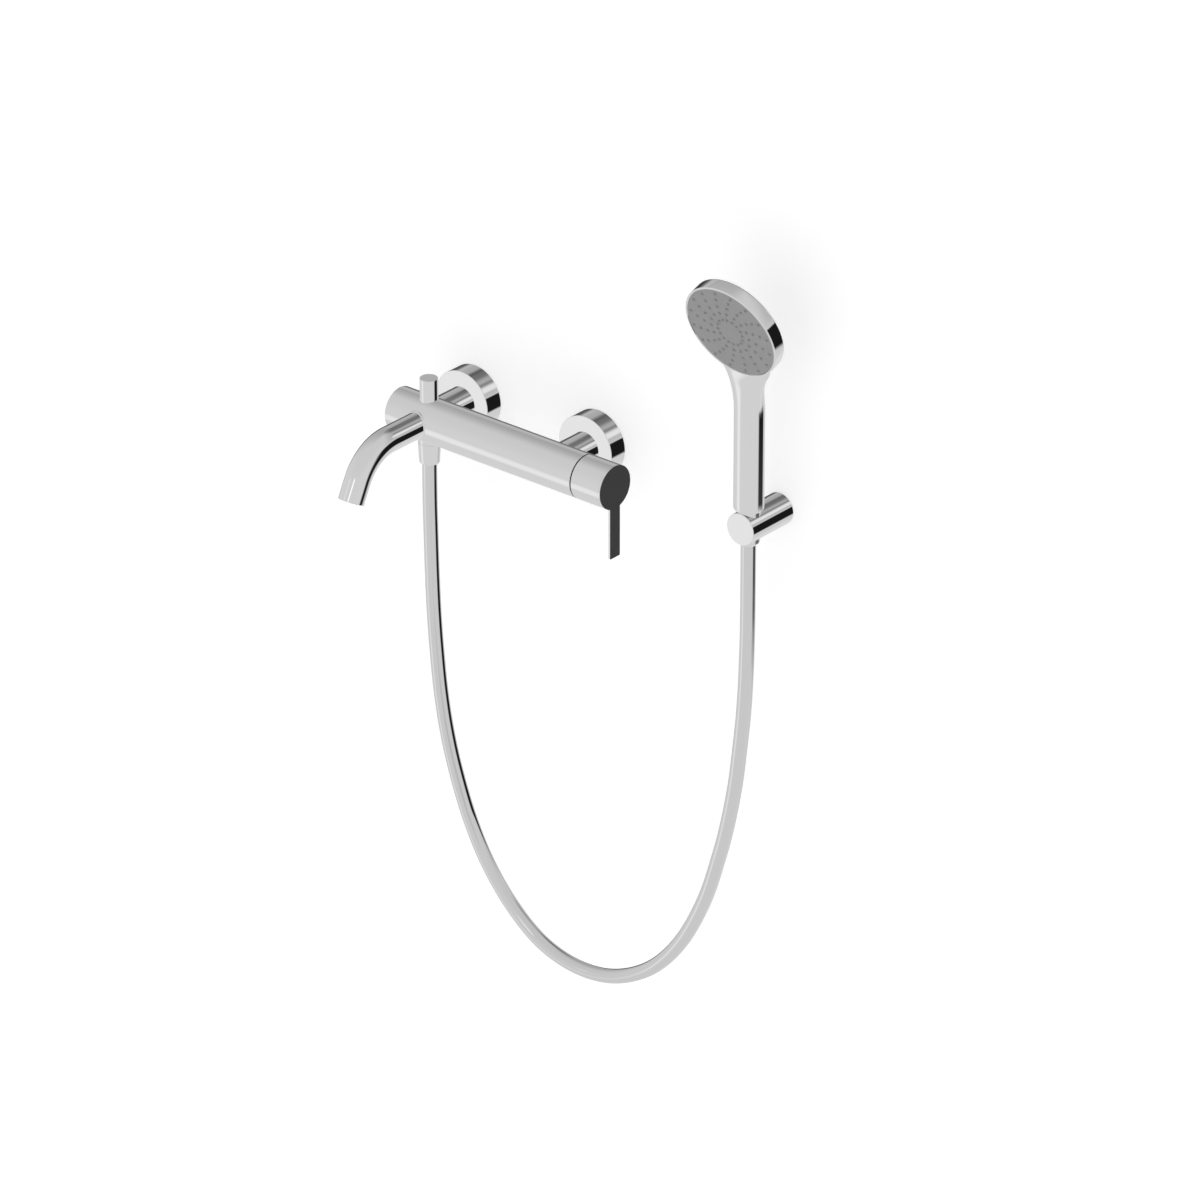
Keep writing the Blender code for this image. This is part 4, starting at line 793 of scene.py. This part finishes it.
# --- Spout ---
# A chromed brass tube, 25 mm across: straight out of the body, one bend down, and a short
# straight end with a thin rounded lip round the aerator.
SPOUT_STRAIGHT = 57.0 * MM
SPOUT_BEND_RADIUS = 49.0 * MM
SPOUT_BEND_ANGLE = math.radians(63.0)
SPOUT_END = 20.0 * MM
SPOUT_WALL = 1.8 * MM
SPOUT_FILLET = 1.2 * MM
spout_low, spout_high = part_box("spout_pipe")
spout_radius = (spout_high.x - spout_low.x) / 2
spout_length = SPOUT_STRAIGHT + SPOUT_BEND_RADIUS * SPOUT_BEND_ANGLE + SPOUT_END


def spout_line(distance):
    """Centre and direction at a distance along the spout: straight on, then round the bend's
    arc, then straight again in the direction where the bend ends."""
    past = distance - SPOUT_STRAIGHT
    turn = np.clip(past / SPOUT_BEND_RADIUS, 0, SPOUT_BEND_ANGLE)
    after = np.maximum(past - SPOUT_BEND_RADIUS * SPOUT_BEND_ANGLE, 0)
    forward = np.minimum(distance, SPOUT_STRAIGHT)
    forward = forward + SPOUT_BEND_RADIUS * np.sin(turn) + after * np.cos(turn)
    drop = SPOUT_BEND_RADIUS * (1 - np.cos(turn)) + after * np.sin(turn)
    flat = np.zeros_like(distance)
    centre = np.stack([flat + knob_x, axis_y - forward, -drop], axis=-1)
    return centre, np.stack([flat, -np.cos(turn), -np.sin(turn)], axis=-1)


def spout_surface(name, radius, distance, turn):
    """The radius, turned round the bent centreline at its distance, both given as grids."""
    centre, along = spout_line(distance)
    side = np.array([1.0, 0.0, 0.0])
    up = np.cross(along, side)
    spoke = np.cos(turn)[None, :, None] * side + np.sin(turn)[None, :, None] * up
    return surface(name, centre + radius[:, :, None] * spoke)


bend_rows = np.linspace(SPOUT_STRAIGHT, SPOUT_STRAIGHT + SPOUT_BEND_RADIUS * SPOUT_BEND_ANGLE, 64)
lip = rounded(
    [
        (spout_radius, bend_rows[-1]),
        (spout_radius, spout_length),
        (spout_radius - SPOUT_WALL, spout_length),
        (spout_radius - SPOUT_WALL, spout_length - 14 * MM),
        (0.0, spout_length - 14 * MM),
    ],
    [0, 0.5 * MM, 0.5 * MM, 0, 0],
)
outside = np.column_stack([np.full(64, spout_radius), bend_rows])
spout_profile = np.vstack([outside[:-1], lip])
root_radii, root_rows = filleted_root(spout_radius, SPOUT_FILLET, turn)
pipe_radii, pipe_rows = (np.repeat(spout_profile[:, i, None], len(turn), axis=1) for i in (0, 1))
spout_radii = np.vstack([0 * root_radii[:1], root_radii, pipe_radii])
spout_rows = np.vstack([root_rows[:1], root_rows, pipe_rows])
spout_rows[0] = root_rows[0].mean()
spout = spout_surface("spout_tube", spout_radii, spout_rows, turn)
finish(smooth(spout), "wall_set", "chrome", chrome("spout_chrome"), "spout_pipe")

# --- Aerator ---
# A chromed ring screwed into the spout's end, round a white plastic honeycomb that mixes air
# into the water.
AERATOR_RIM = 2.4 * MM
tip, tip_down = (v[0] for v in spout_line(np.array([spout_length])))
aerator_radius = spout_radius - SPOUT_WALL - 0.05 * MM
aerator_outline = [
    (aerator_radius - AERATOR_RIM, 9.0 * MM),
    (aerator_radius, 9.0 * MM),
    (aerator_radius, 0.7 * MM),
    (aerator_radius - AERATOR_RIM, 0.7 * MM),
    (aerator_radius - AERATOR_RIM, 9.0 * MM),
]
aerator_profile = rounded(aerator_outline, [0, 0, 0.3 * MM, 0.7 * MM, 0])[:-1]
aerator = turned("aerator_ring", aerator_profile, tip, -tip_down, ring=True, steps=96)
finish(smooth(aerator), "wall_set", "chrome", chrome("aerator_chrome"), "aerator_housing")

CELL = 1.5 * MM
CELL_WALL = 0.28 * MM


def honeycomb(name, centre, normal, radius, top, bottom):
    """Six-sided cells on a triangular lattice, kept where they fit in the radius. Each is a
    closed hexagonal ring, its inside a wall's width smaller than its outside."""
    first, second = square_to(normal)
    steps = np.arange(-8, 9)
    i, j = (v.ravel() for v in np.meshgrid(steps, steps))
    spacing = CELL * math.sqrt(3)
    u, v = spacing * (i + j / 2), CELL * 1.5 * j
    kept = np.hypot(u, v) < radius - CELL * 0.55
    spots = centre + u[kept, None] * first + v[kept, None] * second
    turn = math.pi / 6 + np.arange(6) * math.pi / 3
    spoke = np.cos(turn)[:, None] * first + np.sin(turn)[:, None] * second
    outer, inner = CELL * 1.004, CELL - CELL_WALL
    rows = [(outer, bottom), (outer, top), (inner, top), (inner, bottom)]
    ring = np.array([r * spoke + h * normal for r, h in rows])
    return surface(name, spots[:, None, None] + ring, ring=True)


def plastic(name, colour, gloss=(0.30, 0.42), grain=500.0, depth=0.06):
    """Moulded plastic: an even colour with slight clouds, and a fine satin grain."""
    material, tree, shader, place = new_material(name, colour, 0.0, 0.35)
    clouds = noise(tree, place, 60.0, 3.0)
    ramp = node(tree, "ShaderNodeValToRGB", {"Fac": clouds})
    ramp.color_ramp.elements[0].color = (*(0.95 * c for c in colour), 1.0)
    ramp.color_ramp.elements[1].color = (*(min(1.0, 1.04 * c) for c in colour), 1.0)
    tree.links.new(ramp.outputs["Color"], shader.inputs["Base Color"])
    tree.links.new(between(tree, clouds, *gloss), shader.inputs["Roughness"])
    bump(tree, shader, noise(tree, place, grain, 2.0), depth, 0.00003)
    return material


comb = honeycomb(
    "aerator_honeycomb", tip, -tip_down, aerator_radius - AERATOR_RIM, 1.6 * MM, 6.0 * MM
)
aerator_white = plastic("aerator_white", (0.80, 0.80, 0.78))
finish(comb, "wall_set", "white_plastic", aerator_white, "aerator_insert")

# --- Hose nuts ---
# Two chromed brass cones that join the hose to the mixer and to the hand shower. The upper
# end of each is the size of the thread it turns on, and the lower end closes in on the hose.
HOSE_CLEARANCE = 0.12 * MM
NUT_CLOSES_BY = 0.22 * MM


def cone_nut(name, node_name, top_radius, bottom_radius, chamfer):
    """A hollow cone between the box's top and bottom, its lower edge cut back by a chamfer."""
    low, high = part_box(node_name)
    high.z += NUT_CLOSES_BY
    outline = [
        (top_radius - 2.4 * MM, high.z),
        (top_radius, high.z),
        (bottom_radius, low.z + chamfer),
        (bottom_radius - chamfer, low.z),
        (HOSE_RADIUS + HOSE_CLEARANCE, low.z),
        (HOSE_RADIUS + HOSE_CLEARANCE, low.z + 4 * MM),
        (top_radius - 2.4 * MM, low.z + 4 * MM),
        (top_radius - 2.4 * MM, high.z),
    ]
    rounds = [0, 0.06 * MM, 0.25 * MM, 0.25 * MM, 0.2 * MM, 0, 0, 0]
    profile = rounded(outline, rounds)[:-1]
    x, y, _ = middle(node_name)
    return turned(name, profile, (x, y, 0), (0, 0, 1), ring=True, steps=128)


nut = cone_nut("mixer_hose_cone", "hose_nut", 10.75 * MM, 9.6 * MM, 0.8 * MM)
finish(smooth(nut), "wall_set", "chrome", chrome("mixer_cone_chrome"), "hose_nut")
nut = cone_nut("handset_hose_cone", "shower_hose_nut", 10.7 * MM, 10.4 * MM, 3.0 * MM)
finish(smooth(nut), "hand_shower", "chrome", chrome("handset_cone_chrome"), "shower_hose_nut")

# --- Wall holder ---
# A chromed bar end, 31 mm across, that a screw and a small plate hold to the wall. A round
# hole through it takes the hose's cone, and a slot in its left side lets the hose in.
SLOT = 15.0 * MM
post_low, post_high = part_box("holder_post")
post_radius = (post_high.x - post_low.x) / 2
post_x, post_z = middle("holder_post")[0], middle("holder_post")[2]
post_depth = -post_low.y
socket_x, socket_y, _ = middle("shower_hose_nut")
post_outline = [
    (13.3 * MM, 0.0),
    (post_radius, 0.0),
    (post_radius, post_depth),
    (0.0, post_depth),
]
inside = [(0.0, 20 * MM), (13.3 * MM, 20 * MM)]
post_profile = rounded(inside + post_outline, [0, 0.5 * MM, 0.2 * MM, 0.3 * MM, 0.4 * MM, 0])
post = turned("holder_bar", post_profile, (post_x, 0, post_z), (0, -1, 0), steps=192)
socket = np.array([(0, -20 * MM), (10.7 * MM, -20 * MM), (11.0 * MM, 20 * MM), (0, 20 * MM)])
carve(post, turned("socket", socket, (socket_x, socket_y, post_z), (0, 0, 1), steps=96))


def block(name, low, high):
    """A plain box between two corners, used to cut a slot."""
    bm = bmesh.new()
    bmesh.ops.create_cube(bm, size=1.0)
    mesh = bpy.data.meshes.new(name)
    bm.to_mesh(mesh)
    bm.free()
    low, high = np.array(low), np.array(high)
    corners = np.zeros(24)
    mesh.vertices.foreach_get("co", corners)
    mesh.vertices.foreach_set("co", ((corners.reshape(8, 3) + 0.5) * (high - low) + low).reshape(-1))
    made = bpy.data.objects.new(name, mesh)
    bpy.context.scene.collection.objects.link(made)
    return made


slot_low = (socket_x - 20 * MM, socket_y - SLOT / 2, post_z - 20 * MM)
carve(post, block("slot", slot_low, (socket_x, socket_y + SLOT / 2, post_z + 20 * MM)))
finish(smooth(post), "wall_set", "chrome", chrome("holder_chrome"), "holder_post")

# --- Hand shower ---
# One chromed plastic shell: a round handle whose neck spreads and thins into a flat round
# head, tilted forward, with a slightly domed back and a thin lip round the spray face.
HEAD_TILT = math.radians(19.3)
HEAD_RIM = 12.2 * MM
HEAD_DOME = 8.0 * MM
HEAD_LIP = 1.8 * MM
HANDLE_RADIUS = 14.0 * MM
HANDLE_FROM_WALL = 45.0 * MM
HEAD_THINNING = 0.36
face_centre = np.array([socket_x, -73.4 * MM, 200.5 * MM])
face_out = np.array([0.0, -math.cos(HEAD_TILT), -math.sin(HEAD_TILT)])
head_radius = (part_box("handset_shell")[1].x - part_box("handset_shell")[0].x) / 2
handle_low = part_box("handset_shell")[0].z
# Height, half width, half depth and distance from the wall, up the neck.
NECK = [
    (104.0, 14.00, 14.00, 45.0),
    (112.0, 14.00, 14.00, 45.0),
    (118.0, 14.10, 13.75, 45.25),
    (124.0, 14.50, 13.20, 45.80),
    (132.0, 15.60, 12.20, 46.9),
    (141.0, 18.20, 10.20, 48.6),
    (150.0, 22.40, 7.60, 50.3),
    (157.0, 27.20, 5.80, 52.0),
    (161.5, 29.40, 5.00, 53.2),
    (168.0, 31.50, 4.00, 56.0),
]


def handset_handle():
    """Ovals stacked up the handle: a quarter circle rounds the bottom edge, the middle is
    straight, and a smooth curve through the neck's sizes gives the rest."""
    edge = 2.5 * MM
    turn = np.linspace(0, math.pi / 2, 10)
    bottom = HANDLE_RADIUS - edge + edge * np.sin(turn)
    wall = np.full_like(bottom, HANDLE_FROM_WALL)
    base = np.column_stack([handle_low + edge - edge * np.cos(turn), bottom, bottom, wall])
    straight = np.linspace(handle_low + edge, 104.0 * MM, 14)[1:-1]
    level = (HANDLE_RADIUS, HANDLE_RADIUS, HANDLE_FROM_WALL)
    middle_rows = np.column_stack([straight] + [np.full_like(straight, v) for v in level])
    rows = np.vstack([base, middle_rows, smooth_path(np.array(NECK) * MM, 8)])
    rows = np.vstack([rows[:1] * [1, 0, 0, 1], rows, rows[-1:] * [1, 0, 0, 1]])
    turn = np.linspace(0, 2 * math.pi, 128, endpoint=False)[None, :]
    height, wide, deep, wall = (rows[:, i, None] for i in range(4))
    x = socket_x + wide * np.cos(turn)
    y = -wall + deep * np.sin(turn)
    return surface("handset_body", np.stack([x, y, height + 0 * turn], axis=-1))


dome_turn = np.linspace(0, math.pi / 2, 24)
dome = np.column_stack([head_radius * np.cos(dome_turn), HEAD_RIM + HEAD_DOME * np.sin(dome_turn)])
rim = rounded(
    [(0.0, 0.0), (head_radius, 0.0), (head_radius, HEAD_RIM)],
    [0, 0.7 * MM, 0],
    8,
)
head_profile = np.vstack([rim[:-1], dome[:-1], [(0.0, HEAD_RIM + HEAD_DOME)]])
# The head is thinner where the neck joins it: the height is cut by a share that is greatest
# straight below the middle, and falls with the third power of the sine.
low_side = np.maximum(np.sin(np.linspace(0, 2 * math.pi, 256, endpoint=False)), 0) ** 3
thinner = 1 - HEAD_THINNING * low_side * (head_profile[:, :1] / head_radius) ** 2
thinner = head_profile[:, 1:] * thinner
head = turned("head", head_profile, face_centre, -face_out, steps=256, height=thinner)
handset = handset_handle()
carve(handset, head, "UNION")
pocket_front, pocket_back = face_centre + 3 * MM * face_out, face_centre - 9 * MM * face_out
carve(handset, rod("pocket", pocket_front, pocket_back, head_radius - HEAD_LIP, 256))
bore_top = (socket_x, socket_y, 110 * MM)
carve(handset, rod("bore", (socket_x, socket_y, 10 * MM), bore_top, 11.4 * MM, 96))
finish(smooth(handset, 30), "hand_shower", "chrome", chrome("handset_chrome"), "handset_shell")

# --- Spray face ---
# A satin grey plastic disc inside the lip, with a shallow bevel at its edge. Soft nozzles of
# darker rubber stand through it in curved spokes, so that scale can be rubbed off them.
FACE_SPOKES = 16
FACE_RINGS = 5
# The inner ring's radius and the step to the next, as shares of the disc's radius, and how far
# each ring is turned, as a share of the step from spoke to spoke.
FIRST_RING = 0.29
RING_STEP = 0.155
SPOKE_CURL = 0.16
NOZZLE_RADIUS = 1.35 * MM
NOZZLE_HEIGHT = 0.7 * MM
face_radius = head_radius - HEAD_LIP - 0.15 * MM
face_profile = rounded(
    [(0.0, -1.8 * MM), (face_radius, -1.8 * MM), (face_radius, -0.15 * MM), (0.0, -0.05 * MM)],
    [0, 0.1 * MM, 0.5 * MM, 0],
)
face = turned("spray_disc", face_profile, face_centre, face_out, steps=192)
finish(
    smooth(face),
    "hand_shower",
    "grey_spray_face",
    plastic("spray_disc_grey", (0.365, 0.365, 0.37), (0.40, 0.50)),
    "spray_face",
)


def nozzles():
    """Small turned cups, one at each spot. Spots lie on rings of evenly growing radius, and
    each ring is turned a little more than the one inside it."""
    ring, spoke = (v.ravel() for v in np.meshgrid(np.arange(FACE_RINGS), np.arange(FACE_SPOKES)))
    radius = face_radius * (FIRST_RING + RING_STEP * ring)
    angle = 2 * math.pi * (spoke - SPOKE_CURL * ring) / FACE_SPOKES
    first, second = square_to(face_out)
    across, along = (radius * np.cos(angle))[:, None], (radius * np.sin(angle))[:, None]
    spots = face_centre + across * first + along * second
    profile = rounded(
        [
            (0.0, -2.2 * MM),
            (NOZZLE_RADIUS * 1.15, -2.2 * MM),
            (NOZZLE_RADIUS, NOZZLE_HEIGHT),
            (0.5 * MM, NOZZLE_HEIGHT),
            (0.35 * MM, -0.4 * MM),
            (0.0, -0.4 * MM),
        ],
        [0, 0, 0.35 * MM, 0.1 * MM, 0, 0],
        2,
    )
    turn = np.linspace(0, 2 * math.pi, 14, endpoint=False)[None, :, None]
    around = np.cos(turn) * first + np.sin(turn) * second
    cup = profile[:, 1, None, None] * face_out + profile[:, :1, None] * around
    return surface("rubber_nozzles", spots[:, None, None] + cup)


tips = nozzles()
finish(
    smooth(tips),
    "hand_shower",
    "grey_spray_face",
    rubber("nozzle_rubber", (0.335, 0.335, 0.34), (0.45, 0.6)),
    "nozzle_mat",
)

# --- Pieces inside ---
# Valves, cartridge, seals and fasteners keep their CAD solids, each with its own finish.


def ceramic(name):
    """Ground and lapped ceramic: off-white, glossy, with very faint specks."""
    material, tree, shader, place = new_material(name, (0.86, 0.85, 0.82), 0.0, 0.15)
    specks = node(tree, "ShaderNodeTexVoronoi", {"Vector": place, "Scale": 1500.0}).outputs["Distance"]
    tree.links.new(between(tree, specks, 0.10, 0.22), shader.inputs["Roughness"])
    return material


def steel(name):
    """Drawn and turned stainless steel, with the tool's fine lines in its gloss."""
    material, tree, shader, place = new_material(name, (0.62, 0.63, 0.64), 1.0, 0.3)
    stretched = node(tree, "ShaderNodeMapping", {"Vector": place, "Scale": (1.0, 1.0, 14.0)}).outputs[0]
    lines = noise(tree, stretched, 260.0, 3.0)
    tree.links.new(between(tree, lines, 0.2, 0.4), shader.inputs["Roughness"])
    bump(tree, shader, lines, 0.1, 0.00003)
    return material


# The diverter's return spring: stainless wire wound round the stem. Its upper end rests on the
# bushing.
SPRING_TURNS = 5
SPRING_WIRE = 0.4 * MM


def coil(name, centre, low, high, radius, wire, turns):
    """A round wire on a helix: its middle turns at an even rate while it climbs. Each ring of
    the wire lies in the plane of the outward spoke and the direction square to it and to the
    helix. The ends are closed with a point."""
    turn = np.linspace(0, 2 * math.pi * turns, 48 * turns)
    outward = np.column_stack([np.cos(turn), np.sin(turn), 0 * turn])
    path = np.array([*centre, 0.0]) + radius * outward
    path[:, 2] = np.linspace(low + wire, high - wire, len(turn))
    along = np.gradient(path, axis=0)
    along /= np.linalg.norm(along, axis=1, keepdims=True)
    upward = np.cross(outward, along)
    sweep = np.linspace(0, 2 * math.pi, 12, endpoint=False)[None, :, None]
    spoke = np.cos(sweep) * outward[:, None] + np.sin(sweep) * upward[:, None]
    rings = path[:, None] + wire * spoke
    first, last = (np.broadcast_to(path[i], (1, 12, 3)) for i in (0, -1))
    return surface(name, np.concatenate([first, rings, last]))


spring_low, spring_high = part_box("diverter_spring")
spring_radius = (spring_high.x - spring_low.x) / 2 - SPRING_WIRE
spring_ends = (spring_low.z, spring_high.z)
spring = coil("return_spring", (knob_x, knob_y), *spring_ends, spring_radius, SPRING_WIRE, SPRING_TURNS)
finish(smooth(spring), "wall_set", "stainless_steel", steel("spring_steel"), "diverter_spring")
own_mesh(spring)

FINISHES = {
    "brass": brass("inner_brass"),
    "stainless_steel": steel("fastener_steel"),
    "ceramic": ceramic("lapped_ceramic"),
    "rubber_seal": rubber("seal_rubber"),
    "fibre_washer": plastic("pressed_fibre", (0.42, 0.13, 0.07), (0.7, 0.9), 1400.0, 0.3),
    "white_plastic": plastic("inner_white", (0.78, 0.78, 0.76)),
    "chrome": chrome("inner_chrome"),
    "grey_spray_face": plastic("inner_grey", (0.33, 0.33, 0.34)),
}
for part in frame["record"]["subparts"]:
    solid = frame["nodes"][part["node"]]
    solid.visible_glossy = False
    finish_name = part["material_slot"]
    if not solid.hide_render and finish_name in FINISHES:
        for place in solid.material_slots:
            place.material = FINISHES[finish_name]
